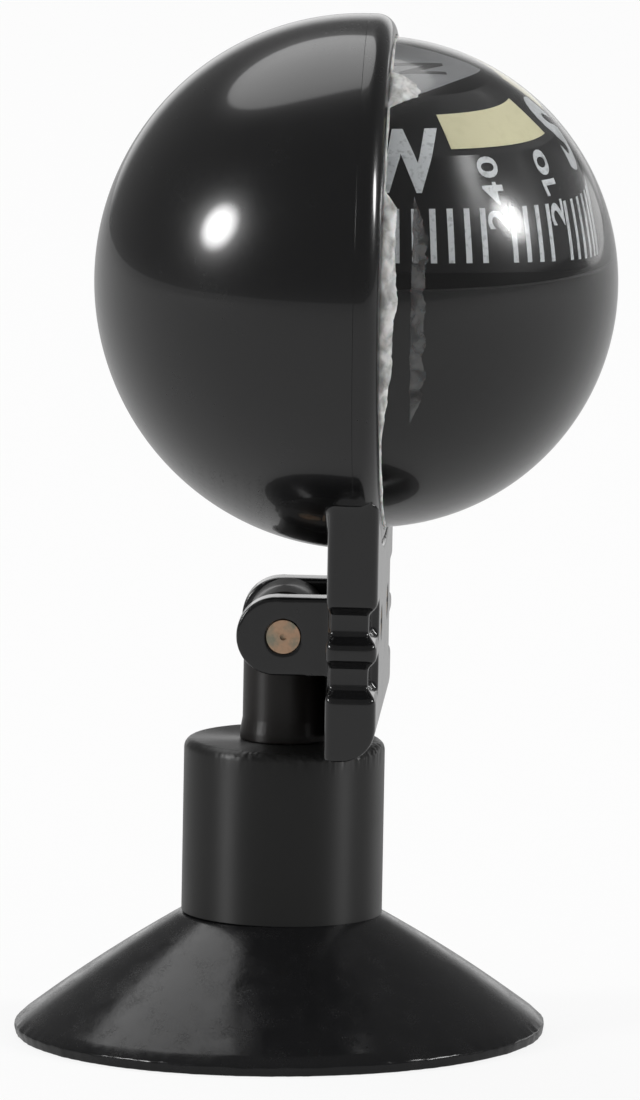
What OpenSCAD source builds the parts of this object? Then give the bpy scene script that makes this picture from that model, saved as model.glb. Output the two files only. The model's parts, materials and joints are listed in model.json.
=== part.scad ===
// Ball compass for a dashboard, on a hinged stem with a suction cup.
// Origin: centre of the cup's lip, on the surface that it grips. +Z is up and the dial faces -Y.
// The soft cup settles under the head, so all that it carries leans forward a little.
// Parts of the head are drawn from the hinge pin. "fwd" is a distance from the pin towards the
// dial, so it points along -Y, and heights in the head are counted from the pin as well.

/* [Suction cup] */
// Radius of the cup's lip
cup_r = 27.5; // [24:0.5:40]
// Height of the cup's shoulder, where the collar sits
cup_h = 12.7; // [11.5:0.1:18]
// Thickness of the lip at its edge
cup_lip_t = 1.0; // [0.6:0.1:1.6]
// Height of the hollow under the cup
cup_hollow_h = 9.2; // [7:0.1:10]
// Bulge of the outer flank, over a straight cone
cup_bulge = 0.3; // [0:0.05:1]
// Bulge of the hollow, over a straight cone
cup_hollow_bulge = 3.0; // [2:0.1:3.6]
// Radius of the plug that the cup holds up into the collar
cup_plug_r = 8.4; // [7:0.1:9]
// Height of that plug
cup_plug_h = 7.5; // [5:0.5:8.5]
// Forward lean of the stand on its soft cup
stand_lean = 1.05; // [0:0.05:1.5]

/* [Collar] */
// Outer radius of the collar
collar_r = 10.4; // [10:0.1:13]
// Height of the collar
collar_h = 18.1; // [16:0.1:26]
// Thickness of the collar's top wall
collar_top_t = 3.2; // [2.5:0.1:4]
// Rounding of the collar's top edge
collar_edge_r = 1.0; // [0.4:0.1:1.5]

/* [Stem] */
// Height of the hinge pin over the collar
stem_h = 11.9; // [11.5:0.1:20]
// Radius of the stem
stem_r = 4.4; // [3.9:0.05:4.5]
// Radius of the stem's foot, which turns on the collar
stem_foot_r = 4.65; // [4.5:0.05:4.7]
// Radius of the journal that turns in the collar's top wall
journal_r = 3.4; // [2.6:0.1:3.7]
// Radius of the hinge knuckle
knuckle_r = 4.2; // [3.9:0.05:4.5]
// Width of the hinge knuckle
knuckle_w = 9.2; // [9.2:0.1:11]
// Radius of the swivel screw's shank
swivel_screw_r = 1.5; // [1:0.1:1.8]
// Radius of the swivel screw's head
swivel_head_r = 2.8; // [2.4:0.1:3.4]
// Radius of the swivel washer
swivel_washer_r = 5.6; // [4.5:0.1:6]
// Thickness of the swivel washer
swivel_washer_t = 1.0; // [0.6:0.1:1.2]

/* [Hinge] */
// Radius of the hinge rivet
rivet_r = 1.75; // [1.2:0.05:2.2]
// Radius of the rounded ears
ear_r = 4.1; // [3.6:0.05:4.4]
// Distance of the ears' rounding behind the pin
ear_back = 0.8; // [0:0.1:1.2]
// Thickness of each ear
ear_t = 3.05; // [2:0.05:4]
// Gap between an ear and the knuckle
ear_gap = 0.3; // [0.1:0.05:0.6]

/* [Tab] */
// Width of the tab under the ball
tab_w = 36.4; // [32:0.2:44]
// Gap between the tab and the knuckle
tab_gap = 0.6; // [0.6:0.05:1]
// Depth of the tab's rear half, which belongs to the shell
tab_rear_t = 2.6; // [2.2:0.1:4]
// Depth of the tab's front half, which belongs to the bezel
tab_front_t = 2.7; // [2.5:0.05:4.5]
// How far the tab hangs below the hinge pin
tab_drop = 11.3; // [10:0.1:11.4]
// Rounding of the tab's upright edges
tab_edge_r = 0.9; // [0.4:0.1:1.2]
// Rounding of the tab's lower front edge
tab_foot_r = 3.6; // [2:0.1:4.2]
// Height of the upper grip groove over the hinge pin
groove_z = 2.85; // [2:0.05:4]
// Distance between the two grip grooves
groove_pitch = 5.6; // [5.5:0.1:6.4]
// Height of a groove's floor
groove_floor = 2.0; // [1.2:0.1:2.6]
// Depth of a groove in the front face
groove_front_d = 0.9; // [0.4:0.05:1.2]
// Depth of a groove in the side face
groove_side_d = 1.3; // [0.5:0.05:1.8]
// Depth of a groove in the back face
groove_back_d = 0.4; // [0.2:0.05:0.8]
// How far a groove runs in from the side
groove_run = 5.5; // [3:0.1:6.5]

/* [Ball] */
// Outer radius of the shell and of the bezel
ball_r = 27.7; // [25.2:0.1:36]
// Wall of the rear shell
shell_t = 2.2; // [2:0.1:2.6]
// Height of the ball's centre over the hinge pin
ball_rise = 36.15; // [34.65:0.5:48]
// Distance of the ball's centre behind the seam
ball_setback = 0.25; // [0:0.05:0.4]
// Rounding of the bezel's front edge
bezel_edge_r = 2.1; // [1:0.1:2.2]
// Ring that the bezel shows round the dome: the ball's radius less the dome's
bezel_face = 2.3; // [2.1:0.1:2.8]
// Wall of the clear dome
dome_t = 1.6; // [1.2:0.1:1.8]
// Distance of the dome's centre in front of the seam
dome_advance = 0.8; // [0.7:0.1:1.4]

/* [Capsule] */
// Wall of the capsule's rear bowl
bowl_t = 1.0; // [0.8:0.1:1.2]
// Room between the bowl's flat rear wall and the back of the ball
bowl_room = 9.15; // [8.8:0.05:10.2]
// Radius of the expansion opening in that wall
expansion_r = 9.0; // [7:0.1:9.6]
// Radius of the rubber diaphragm
diaphragm_r = 11.5; // [11:0.1:11.6]
// Thickness of the rubber diaphragm
diaphragm_t = 0.8; // [0.5:0.1:1]
// Wall of the black liner under the card
liner_t = 1.0; // [0.8:0.1:1.4]
// Height of the liner's rim over the dome's centre
liner_rim = 2.5; // [1:0.1:3]
// Radius of the pivot post
post_r = 1.6; // [1.2:0.1:2.2]
// Radius of the steel needle
needle_r = 0.6; // [0.4:0.05:0.7]
// Height of the needle's tip over the dome's centre
tip_rise = 8.5; // [7.5:0.1:10]

/* [Card] */
// Radius of the card at its lower rim
card_r = 17.5; // [16:0.1:18.5]
// Radius of the card where its scale ends and the upper band starts
card_edge_r = 15.1; // [14:0.1:15.6]
// Radius of the card's flat top
card_top_r = 9.8; // [8:0.1:11]
// Wall of the card
card_t = 0.7; // [0.5:0.1:1]
// Height of the card's lower rim over the dome's centre
card_rim_z = 1.2; // [0.5:0.1:2]
// Height of the edge between the scale and the upper band
card_edge_z = 12.3; // [11:0.1:13]
// Height of the card's flat top over the dome's centre
card_top_z = 17.6; // [16.5:0.1:18]
// Tip of the card towards its own right side, at rest
card_dip = 7.6; // [0:0.1:8]
// Turn of the card, seen from above, that brings north to the dial's own mark
card_turn = 15.6; // [0:0.1:360]
// Radius of the float
float_r = 6.2; // [5.2:0.1:7.5]
// Radius of the jewel cup
jewel_r = 1.7; // [1.4:0.1:2.2]
// Length of each bar magnet
magnet_l = 16.0; // [10:0.5:17]
// Width of each bar magnet
magnet_w = 2.6; // [1.6:0.1:3]
// Height of each bar magnet
magnet_h = 2.0; // [1.2:0.1:2.4]

/* [Compensators] */
// Distance of each adjuster from the middle of the tab
adjuster_x = 7.0; // [6.2:0.1:8]
// Height of the adjusters over the hinge pin
adjuster_z = 1.6; // [-1:0.1:3]
// Radius of an adjuster's slotted head
adjuster_r = 1.6; // [1.2:0.1:1.9]
// Radius of an adjuster's round magnet
trim_magnet_r = 2.6; // [2:0.1:2.9]
// Thickness of an adjuster's round magnet
trim_magnet_t = 2.2; // [1.6:0.1:2.4]

/* [Hidden] */
$fn = 96;

run_gap = 0.05;
play = 0.1;
soft_gap = 0.3;
eps = 0.01;
big = 120;
curve_steps = 12;

black_abs = [0.06, 0.06, 0.07];
grey_abs = [0.16, 0.16, 0.17];
black_rubber = [0.03, 0.03, 0.03];
brass_colour = [0.62, 0.47, 0.30];
steel_colour = [0.70, 0.71, 0.73];

collar_top_z = cup_h + collar_h;
pin_z = collar_top_z + stem_h;
foot_z = collar_top_z + run_gap;
washer_top_z = collar_top_z - collar_top_t - play;
washer_bottom_z = washer_top_z - swivel_washer_t;
screw_head_t = 1.7;
screw_bite = 8.5;

tab_back_fwd = knuckle_r + tab_gap;
seam_fwd = tab_back_fwd + tab_rear_t;
front_fwd = seam_fwd + tab_front_t;
ball_fwd = seam_fwd - ball_setback;
dome_fwd = seam_fwd + dome_advance;
shell_in_r = ball_r - shell_t;
ear_in = knuckle_w / 2 + ear_gap;
ear_out = ear_in + ear_t;
groove_mouth = groove_floor + 2 * groove_front_d + 0.5;
tab_top = ball_rise - sqrt(pow(ball_r, 2) - pow(tab_w / 2, 2)) + 2;

dome_r = ball_r - bezel_face;
dome_in_r = dome_r - dome_t;
flange_r = dome_r + 0.6;
flange_t = 1.1;
gasket_t = 0.7;
rim_t = 0.7;
bezel_bore_r = dome_r + 0.2;
shoulder_fwd = dome_fwd + 0.4;
flange_back_fwd = shoulder_fwd - flange_t;
gasket_back_fwd = flange_back_fwd - gasket_t;
rim_back_fwd = gasket_back_fwd - rim_t;
rebate_r = flange_r + run_gap;
lip_out_r = rebate_r + 0.85;
bowl_in_r = dome_in_r - 0.2;
bowl_out_r = bowl_in_r + bowl_t;
bowl_back_fwd = ball_fwd - ball_r + bowl_room;
ring_wall_r = diaphragm_r + 0.1;
ring_wall_out_r = ring_wall_r + 0.9;
ring_t = 1.2;
plug_radius = ring_wall_out_r + 1.15;
plug_head_r = 0.95;

liner_r = bowl_in_r - soft_gap;
liner_in_r = liner_r - liner_t;
liner_back_fwd = bowl_back_fwd + bowl_t + soft_gap;
post_foot_r = 4.0;
post_foot_h = 1.5;
post_top = tip_rise - 5.5;
post_foot_z = -liner_in_r + 1.2;
jewel_wall = 0.7;
jewel_top = tip_rise + 1.2;
jewel_low = tip_rise - 1.6;
float_low = tip_rise - 5.0;
float_bore_r = jewel_r + 1;
float_plate_t = 0.9;
float_plate_r = card_edge_r - 3;
card_in_top = card_top_z - card_t;
waist_flare = 1.8;
foot_band = 1.2;
waist_rise = 0.6;
magnet_x = 5.2;

front_wall_t = 1.0;
trim_front_fwd = front_fwd - front_wall_t - play;
trim_back_fwd = trim_front_fwd - trim_magnet_t;
trim_pocket_r = trim_magnet_r + 0.3;
tail_r = 0.8;
tail_l = 0.9;
trim_bore_r = 0.7;

// Points of a shallow curve from p to q that bulges by s to the left of the line p to q.
function curve(p, q, s) = [
    for (i = [0 : curve_steps])
        let (t = i / curve_steps, d = (q - p) / norm(q - p))
            p + t * (q - p) + 4 * s * t * (1 - t) * [-d[1], d[0]]
];

// Where a point of the stand lands once the stand leans.
function leaned(y, z) = [
    0,
    y * cos(stand_lean) - z * sin(stand_lean),
    y * sin(stand_lean) + z * cos(stand_lean)
];

tip_place = leaned(-dome_fwd, pin_z + ball_rise + tip_rise);

// Stand frame: everything that the cup carries.
module stand_place() {
    rotate([stand_lean, 0, 0])
        children();
}

// Head frame: the origin is on the hinge pin.
module head_place() {
    stand_place()
        translate([0, 0, pin_z])
            children();
}

// Turned shape in the head. The outline is [radius, fwd], spun about the ball's level axis.
module ball_turned() {
    translate([0, 0, ball_rise])
        rotate([90, 0, 0])
            rotate_extrude()
                children();
}

// Upright place of the dome's centre in the head.
module dome_upright() {
    translate([0, -dome_fwd, ball_rise])
        children();
}

// Card frame: it hangs from the needle's tip, dipped, and is turned to the card's heading.
module card_place() {
    translate(tip_place)
        rotate([0, card_dip, 0])
            rotate([0, 0, card_turn])
                translate([0, 0, -tip_rise])
                    children();
}

// Half plane of an outline between two fwd values.
module fwd_band(back, front) {
    translate([0, back])
        square([big, front - back]);
}

module half_ring_outline(out_r, in_r, at) {
    translate([0, at])
        difference() {
            intersection() {
                circle(out_r);
                translate([0, -big])
                    square([big, 2 * big]);
            }
            circle(in_r);
        }
}

// Suction cup: thin lip, bulged flank and a plug that the collar grips.
module suction_cup() {
    shoulder = [collar_r, cup_h];
    crown = [collar_r - 2, cup_h + 1];
    flank_foot = [cup_r - 0.9, cup_lip_t + 0.9];
    lip_edge = [cup_r, cup_lip_t];
    lip_in = [cup_r - 1.2, 0];
    color(black_rubber) {
        difference() {
            rotate_extrude()
                polygon(concat(
                    [[0, crown[1]], crown],
                    curve(shoulder, flank_foot, cup_bulge),
                    [lip_edge, [cup_r - 0.25, 0]],
                    curve(lip_in, [0, cup_hollow_h], -cup_hollow_bulge)
                ));
            stand_place()
                translate([-big / 2, -big / 2, cup_h])
                    cube(big);
        }
        stand_place()
            translate([0, 0, cup_h - 1])
                cylinder(h = cup_plug_h + 1, r = cup_plug_r);
    }
}

// Collar: a turned cap over the cup's plug. The stem turns in its top wall.
module collar() {
    color(grey_abs)
        stand_place()
            translate([0, 0, cup_h])
                rotate_extrude()
                    difference() {
                        union() {
                            square([collar_r, collar_h - collar_edge_r]);
                            square([collar_r - collar_edge_r, collar_h]);
                            translate([collar_r - collar_edge_r, collar_h - collar_edge_r])
                                circle(collar_edge_r);
                        }
                        translate([0, -eps])
                            square([cup_plug_r, cup_plug_h + 0.2 + eps]);
                        square([swivel_washer_r + 0.6, collar_h - collar_top_t]);
                        square([journal_r + run_gap, big]);
                        translate([-big, -big])
                            square([big, 2 * big]);
                    }
}

// Stem: journal, foot, post and hinge knuckle in one piece.
module stem() {
    foot_h = 0.8;
    flare_h = 1.4;
    color(black_abs)
        stand_place()
            difference() {
                union() {
                    translate([0, 0, washer_top_z])
                        cylinder(h = foot_z - washer_top_z + foot_h / 2, r = journal_r);
                    translate([0, 0, foot_z])
                        cylinder(h = foot_h, r = stem_foot_r);
                    translate([0, 0, foot_z + foot_h])
                        cylinder(h = flare_h, r1 = stem_foot_r, r2 = stem_r);
                    translate([0, 0, foot_z + foot_h + flare_h])
                        cylinder(h = pin_z - foot_z - foot_h - flare_h, r = stem_r);
                    translate([-knuckle_w / 2, 0, pin_z])
                        rotate([0, 90, 0])
                            cylinder(h = knuckle_w, r = knuckle_r);
                }
                translate([-big / 2, 0, pin_z])
                    rotate([0, 90, 0])
                        cylinder(h = big, r = rivet_r + run_gap);
                translate([0, 0, washer_top_z - eps])
                    cylinder(h = screw_bite + eps, r = swivel_screw_r);
            }
}

// Washer that keeps the stem in the collar.
module swivel_washer() {
    color(steel_colour)
        stand_place()
            translate([0, 0, washer_bottom_z])
                difference() {
                    cylinder(h = swivel_washer_t, r = swivel_washer_r);
                    translate([0, 0, -1])
                        cylinder(h = swivel_washer_t + 2, r = swivel_screw_r + play);
                }
}

// Screw up into the stem's foot, with a cross recess of two slots.
module swivel_screw() {
    slot_w = 0.7;
    slot_d = 0.8;
    color(steel_colour)
        stand_place()
            difference() {
                union() {
                    translate([0, 0, washer_bottom_z - screw_head_t])
                        cylinder(h = screw_head_t, r = swivel_head_r);
                    translate([0, 0, washer_bottom_z - eps])
                        cylinder(h = swivel_washer_t + screw_bite - 0.5, r = swivel_screw_r);
                }
                for (a = [0, 90])
                    rotate([0, 0, a])
                        translate([-swivel_head_r * 0.6, -slot_w / 2, washer_bottom_z - screw_head_t - eps])
                            cube([swivel_head_r * 1.2, slot_w, slot_d + eps]);
            }
}

// Rivet through both ears and the knuckle, with a centre dimple in each end.
module hinge_rivet() {
    dimple_r = 0.35;
    dimple_d = 0.4;
    color(brass_colour)
        head_place()
            rotate([0, 90, 0])
                difference() {
                    translate([0, 0, -ear_out])
                        cylinder(h = 2 * ear_out, r = rivet_r);
                    for (s = [-1, 1])
                        translate([0, 0, s * ear_out])
                            cylinder(h = 2 * dimple_d, r = dimple_r, center = true);
                }
}

// Outline of the tab seen from above, with its four upright edges rounded.
module tab_plan() {
    half_w = tab_w / 2;
    translate([-half_w, -front_fwd + tab_edge_r])
        square([tab_w, front_fwd - tab_back_fwd - 2 * tab_edge_r]);
    translate([-half_w + tab_edge_r, -front_fwd])
        square([tab_w - 2 * tab_edge_r, front_fwd - tab_back_fwd]);
    for (s = [-1, 1], y = [-front_fwd + tab_edge_r, -tab_back_fwd - tab_edge_r])
        translate([s * (half_w - tab_edge_r), y])
            circle(tab_edge_r);
}

// Outline of the tab seen from its side, as [z, y], with a rounded lower front edge.
module tab_side() {
    depth = front_fwd - tab_back_fwd;
    translate([-tab_drop, -front_fwd + tab_foot_r])
        square([tab_top + tab_drop, depth - tab_foot_r]);
    translate([-tab_drop + tab_foot_r, -front_fwd])
        square([tab_top + tab_drop - tab_foot_r, depth]);
    translate([-tab_drop + tab_foot_r, -front_fwd + tab_foot_r])
        circle(tab_foot_r);
}

// One stretch of a grip groove: a prism with sloped flanks that cuts d deep from y = 0.
module groove_prism(d, run) {
    linear_extrude(run)
        polygon([
            [-groove_mouth / 2, eps], [groove_mouth / 2, eps],
            [groove_floor / 2, -d], [-groove_floor / 2, -d]
        ]);
}

// Both grip grooves at one side of the tab, round its front, side and back.
module grip_grooves() {
    half_w = tab_w / 2;
    for (s = [-1, 1], z = [groove_z, groove_z - groove_pitch])
        mirror([s < 0 ? 1 : 0, 0, 0])
            translate([0, 0, z]) {
                translate([half_w - groove_run, -front_fwd, 0])
                    rotate([0, 90, 0])
                        mirror([0, 1, 0])
                            groove_prism(groove_front_d, groove_run + 1);
                translate([half_w - groove_run, -tab_back_fwd, 0])
                    rotate([0, 90, 0])
                        groove_prism(groove_back_d, groove_run + 1);
                translate([half_w, -front_fwd - 1, 0])
                    rotate([-90, 0, 0])
                        rotate([0, 0, -90])
                            groove_prism(groove_side_d, front_fwd - tab_back_fwd + 2);
            }
}

// The whole tab, before it is split at the seam.
module tab_solid() {
    difference() {
        intersection() {
            translate([0, 0, -tab_drop])
                linear_extrude(tab_drop + tab_top)
                    tab_plan();
            translate([-tab_w / 2, 0, 0])
                rotate([0, -90, 0])
                    mirror([0, 0, 1])
                        linear_extrude(tab_w)
                            tab_side();
        }
        grip_grooves();
    }
}

// Slab of the head between two fwd values, to split the tab at the seam.
module fwd_slab(back, front) {
    translate([-big / 2, -front, -big / 2])
        cube([big, front - back, big]);
}

// Pocket for an adjuster's magnet, with the blind bore that its tail turns in.
module trim_pockets() {
    for (s = [-1, 1])
        translate([s * adjuster_x, 0, adjuster_z])
            rotate([90, 0, 0]) {
                translate([0, 0, trim_back_fwd - play])
                    cylinder(h = trim_front_fwd - trim_back_fwd + 2 * play, r = trim_pocket_r);
                translate([0, 0, trim_back_fwd - tail_l - play])
                    cylinder(h = tail_l + 2 * play, r = tail_r + run_gap);
                translate([0, 0, trim_front_fwd])
                    cylinder(h = big, r = adjuster_r + run_gap);
            }
}

// Rear shell: half ball, rear half of the tab and the two hinge ears.
module rear_shell() {
    color(black_abs)
        head_place()
            difference() {
                union() {
                    ball_turned()
                        intersection() {
                            half_ring_outline(ball_r, shell_in_r, ball_fwd);
                            fwd_band(-big, seam_fwd);
                        }
                    intersection() {
                        tab_solid();
                        fwd_slab(-big, seam_fwd);
                    }
                    for (s = [-1, 1])
                        translate([s * (ear_in + ear_t / 2), 0, 0])
                            rotate([0, 90, 0]) {
                                translate([0, ear_back, 0])
                                    cylinder(h = ear_t, r = ear_r, center = true);
                                translate([-ear_r, -tab_back_fwd - 0.2, -ear_t / 2])
                                    cube([2 * ear_r, tab_back_fwd + 0.2 + ear_back, ear_t]);
                            }
                }
                ball_turned()
                    intersection() {
                        translate([0, ball_fwd])
                            circle(shell_in_r);
                        translate([0, -big])
                            square([big, 2 * big]);
                    }
                ball_turned()
                    translate([0, rim_back_fwd])
                        square([lip_out_r + run_gap, big]);
                rotate([0, 90, 0])
                    cylinder(h = big, r = rivet_r, center = true);
                trim_pockets();
            }
}

// Front bezel: ring round the dome, front half of the tab and a lip that centres it in the shell.
module front_bezel() {
    color(black_abs)
        head_place()
            difference() {
                union() {
                    ball_turned()
                        translate([0, seam_fwd]) {
                            square([ball_r, tab_front_t - bezel_edge_r]);
                            square([ball_r - bezel_edge_r, tab_front_t]);
                            intersection() {
                                translate([ball_r - bezel_edge_r, tab_front_t - bezel_edge_r])
                                    circle(bezel_edge_r);
                                square([big, tab_front_t]);
                            }
                        }
                    intersection() {
                        tab_solid();
                        fwd_slab(seam_fwd, big);
                    }
                    ball_turned()
                        translate([rebate_r, rim_back_fwd + run_gap])
                            square([lip_out_r - rebate_r, seam_fwd - rim_back_fwd]);
                }
                ball_turned()
                    translate([0, -big])
                        square([bezel_bore_r, 2 * big]);
                ball_turned()
                    translate([0, -big])
                        square([rebate_r, big + shoulder_fwd]);
                trim_pockets();
            }
}

// Clear dome with its clamped flange.
module clear_dome() {
    color([0.86, 0.89, 0.90, 0.35])
        head_place()
            ball_turned() {
                intersection() {
                    half_ring_outline(dome_r, dome_in_r, dome_fwd);
                    fwd_band(dome_fwd, big);
                }
                translate([dome_in_r, flange_back_fwd])
                    square([flange_r - dome_in_r, flange_t]);
            }
}

// Bead of sealant in the gap between the dome and the bezel's bore.
module seam_sealant() {
    bead_back = shoulder_fwd + 0.4;
    bead_front = front_fwd + 0.3;
    color([0.80, 0.80, 0.78])
        head_place()
            ball_turned()
                translate([dome_r, bead_back])
                    square([bezel_bore_r - dome_r, bead_front - bead_back]);
}

// Gasket between the dome's flange and the bowl's rim.
module capsule_gasket() {
    color(black_rubber)
        head_place()
            ball_turned()
                translate([bowl_in_r, gasket_back_fwd])
                    square([flange_r - bowl_in_r, gasket_t]);
}

// Rear bowl of the capsule, with a flat rear wall that holds the expansion diaphragm.
module capsule_bowl() {
    color(black_abs)
        head_place()
            difference() {
                ball_turned() {
                    intersection() {
                        half_ring_outline(bowl_out_r, bowl_in_r, gasket_back_fwd);
                        fwd_band(bowl_back_fwd, gasket_back_fwd);
                    }
                    intersection() {
                        half_ring_outline(bowl_out_r, expansion_r / 2, gasket_back_fwd);
                        translate([expansion_r, bowl_back_fwd])
                            square([big, bowl_t]);
                    }
                    translate([bowl_in_r, rim_back_fwd])
                        square([flange_r - bowl_in_r, rim_t]);
                    translate([ring_wall_r, bowl_back_fwd - diaphragm_t - ring_t])
                        square([ring_wall_out_r - ring_wall_r, diaphragm_t + ring_t + eps]);
                }
                translate([0, 0, ball_rise + plug_radius])
                    rotate([90, 0, 0])
                        translate([0, 0, bowl_back_fwd - 1])
                            cylinder(h = bowl_t + 2, r = plug_head_r - 0.3);
            }
}

// Rubber diaphragm that takes up the fluid's expansion, with one raised ripple.
module expansion_diaphragm() {
    ripple_r = expansion_r * 0.6;
    color(black_rubber)
        head_place()
            ball_turned() {
                translate([0, bowl_back_fwd - diaphragm_t])
                    square([diaphragm_r, diaphragm_t]);
                translate([ripple_r - 1, bowl_back_fwd - diaphragm_t - 0.6])
                    square([2, 0.7]);
            }
}

// Ring pressed over the diaphragm's edge.
module diaphragm_ring() {
    color(black_abs)
        head_place()
            ball_turned()
                translate([expansion_r, bowl_back_fwd - diaphragm_t - ring_t])
                    square([ring_wall_r - expansion_r, ring_t]);
}

// Plug in the filling hole.
module fill_plug() {
    color(black_rubber)
        head_place()
            translate([0, 0, ball_rise + plug_radius])
                rotate([90, 0, 0]) {
                    translate([0, 0, bowl_back_fwd - 0.5])
                        cylinder(h = 0.5, r = plug_head_r);
                    translate([0, 0, bowl_back_fwd - eps])
                        cylinder(h = bowl_t, r = plug_head_r - 0.3);
                }
}

// Black liner in the lower half of the capsule. It carries the pivot post.
module bowl_liner() {
    color(black_abs)
        head_place()
            difference() {
                dome_upright() {
                    difference() {
                        rotate_extrude()
                            intersection() {
                                half_ring_outline(liner_r, liner_in_r, 0);
                                translate([0, -big])
                                    square([big, big + liner_rim]);
                            }
                        translate([-big / 2, dome_fwd - liner_back_fwd, -big / 2])
                            cube([big, big, big]);
                    }
                    translate([0, 0, -liner_in_r - liner_t / 2])
                        cylinder(h = post_foot_z + liner_in_r + liner_t / 2, r = post_foot_r);
                }
            }
}

// Pivot post: a foot on the liner's boss and a stalk up into the card.
module pivot_post() {
    color(black_abs)
        head_place()
            dome_upright()
                difference() {
                    union() {
                        translate([0, 0, post_foot_z])
                            cylinder(h = post_foot_h, r = post_foot_r);
                        translate([0, 0, post_foot_z])
                            cylinder(h = post_top - post_foot_z, r = post_r);
                    }
                    translate([0, 0, post_top - 3])
                        cylinder(h = 4, r = needle_r);
                }
}

// Steel needle with a conical tip, pressed into the post.
module pivot_needle() {
    cone_h = 1.4;
    color(steel_colour)
        head_place()
            dome_upright() {
                translate([0, 0, post_top - 3])
                    cylinder(h = tip_rise - cone_h - post_top + 3, r = needle_r);
                translate([0, 0, tip_rise - cone_h])
                    cylinder(h = cone_h, r1 = needle_r, r2 = 0.08);
            }
}

// Outline of the card's outside, shrunk by a wall where it is asked for.
function card_outline(wall) = [
    [0, card_rim_z - (wall > 0 ? 1 : 0)],
    [card_r - wall, card_rim_z - (wall > 0 ? 1 : 0)],
    [card_r - wall, card_rim_z + foot_band],
    [card_edge_r + waist_flare - wall, (card_rim_z + card_edge_z) / 2 + waist_rise],
    [card_edge_r - wall, card_edge_z - wall / 3],
    [card_top_r - wall / 3, card_top_z - wall],
    [0, card_top_z - wall]
];

// Compass card: a flat top, a sloped upper band and a skirt that carries the scale.
module compass_card() {
    color([0.05, 0.05, 0.05])
        card_place()
            rotate_extrude()
                difference() {
                    polygon(card_outline(0));
                    polygon(card_outline(card_t));
                }
}

// Float under the card's top, with the plate that the magnets hang from.
module card_float() {
    color([0.85, 0.85, 0.82])
        card_place()
            difference() {
                union() {
                    translate([0, 0, float_low])
                        cylinder(h = card_in_top - float_low, r = float_r);
                    translate([0, 0, float_low])
                        cylinder(h = float_plate_t, r = float_plate_r);
                }
                translate([0, 0, float_low - 1])
                    cylinder(h = jewel_low - float_low + 1, r = float_bore_r);
                translate([0, 0, jewel_low - 1])
                    cylinder(h = jewel_top - jewel_low + 1, r = jewel_r);
            }
}

// Jewel cup that rides on the needle's tip.
module jewel_cup() {
    color([0.55, 0.10, 0.16])
        card_place()
            difference() {
                translate([0, 0, jewel_low])
                    cylinder(h = jewel_top - jewel_low, r = jewel_r);
                translate([0, 0, jewel_low - 1])
                    cylinder(h = tip_rise + play - jewel_low + 1, r = jewel_r - jewel_wall);
            }
}

// Two bar magnets, side by side under the float's plate, along the card's north line.
module card_magnets() {
    color(steel_colour)
        card_place()
            for (s = [-1, 1])
                translate([s * magnet_x - magnet_w / 2, -magnet_l / 2, float_low - magnet_h])
                    cube([magnet_w, magnet_l, magnet_h]);
}

// Adjuster spindle at one side of the tab: slotted head, shaft and tail.
module adjuster(side) {
    slot_w = 0.6;
    slot_d = 0.5;
    color(brass_colour)
        head_place()
            translate([side * adjuster_x, 0, adjuster_z])
                rotate([90, 0, 0])
                    difference() {
                        union() {
                            translate([0, 0, trim_front_fwd])
                                cylinder(h = front_fwd - trim_front_fwd - play, r = adjuster_r);
                            translate([0, 0, trim_back_fwd - tail_l])
                                cylinder(h = tail_l, r = tail_r);
                            translate([0, 0, trim_back_fwd - eps])
                                cylinder(h = trim_magnet_t + 2 * eps, r = trim_bore_r);
                        }
                        translate([-adjuster_r - 1, -slot_w / 2, front_fwd - play - slot_d])
                            cube([2 * adjuster_r + 2, slot_w, slot_d + 1]);
                    }
}

// Round magnet on an adjuster's shaft.
module trim_magnet(side) {
    color(steel_colour)
        head_place()
            translate([side * adjuster_x, 0, adjuster_z])
                rotate([90, 0, 0])
                    translate([0, 0, trim_back_fwd])
                        difference() {
                            cylinder(h = trim_magnet_t, r = trim_magnet_r);
                            translate([0, 0, -1])
                                cylinder(h = trim_magnet_t + 2, r = trim_bore_r);
                        }
}

module north_adjuster() {
    adjuster(-1);
}

module north_trim_magnet() {
    trim_magnet(-1);
}

module east_adjuster() {
    adjuster(1);
}

module east_trim_magnet() {
    trim_magnet(1);
}

suction_cup();
collar();
stem();
swivel_washer();
swivel_screw();
hinge_rivet();
rear_shell();
front_bezel();
clear_dome();
seam_sealant();
capsule_gasket();
capsule_bowl();
expansion_diaphragm();
diaphragm_ring();
fill_plug();
bowl_liner();
pivot_post();
pivot_needle();
compass_card();
card_float();
jewel_cup();
card_magnets();
north_adjuster();
north_trim_magnet();
east_adjuster();
east_trim_magnet();
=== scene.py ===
"""Looks of a ball compass for a dashboard.

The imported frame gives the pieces' places and the joints. This script gives each piece its finish, and
builds what a plain solid can't show: the filled dome, the printed card, the glue in the seam, the soft
edges of the mouldings and the uneven rubber.
"""

import json
import logging
import math
from dataclasses import dataclass, field
from enum import Enum
from functools import partial
from typing import Callable, Mapping, Optional, Sequence, Union

import bmesh
import bpy
from mathutils import Matrix, Vector, noise

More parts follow.
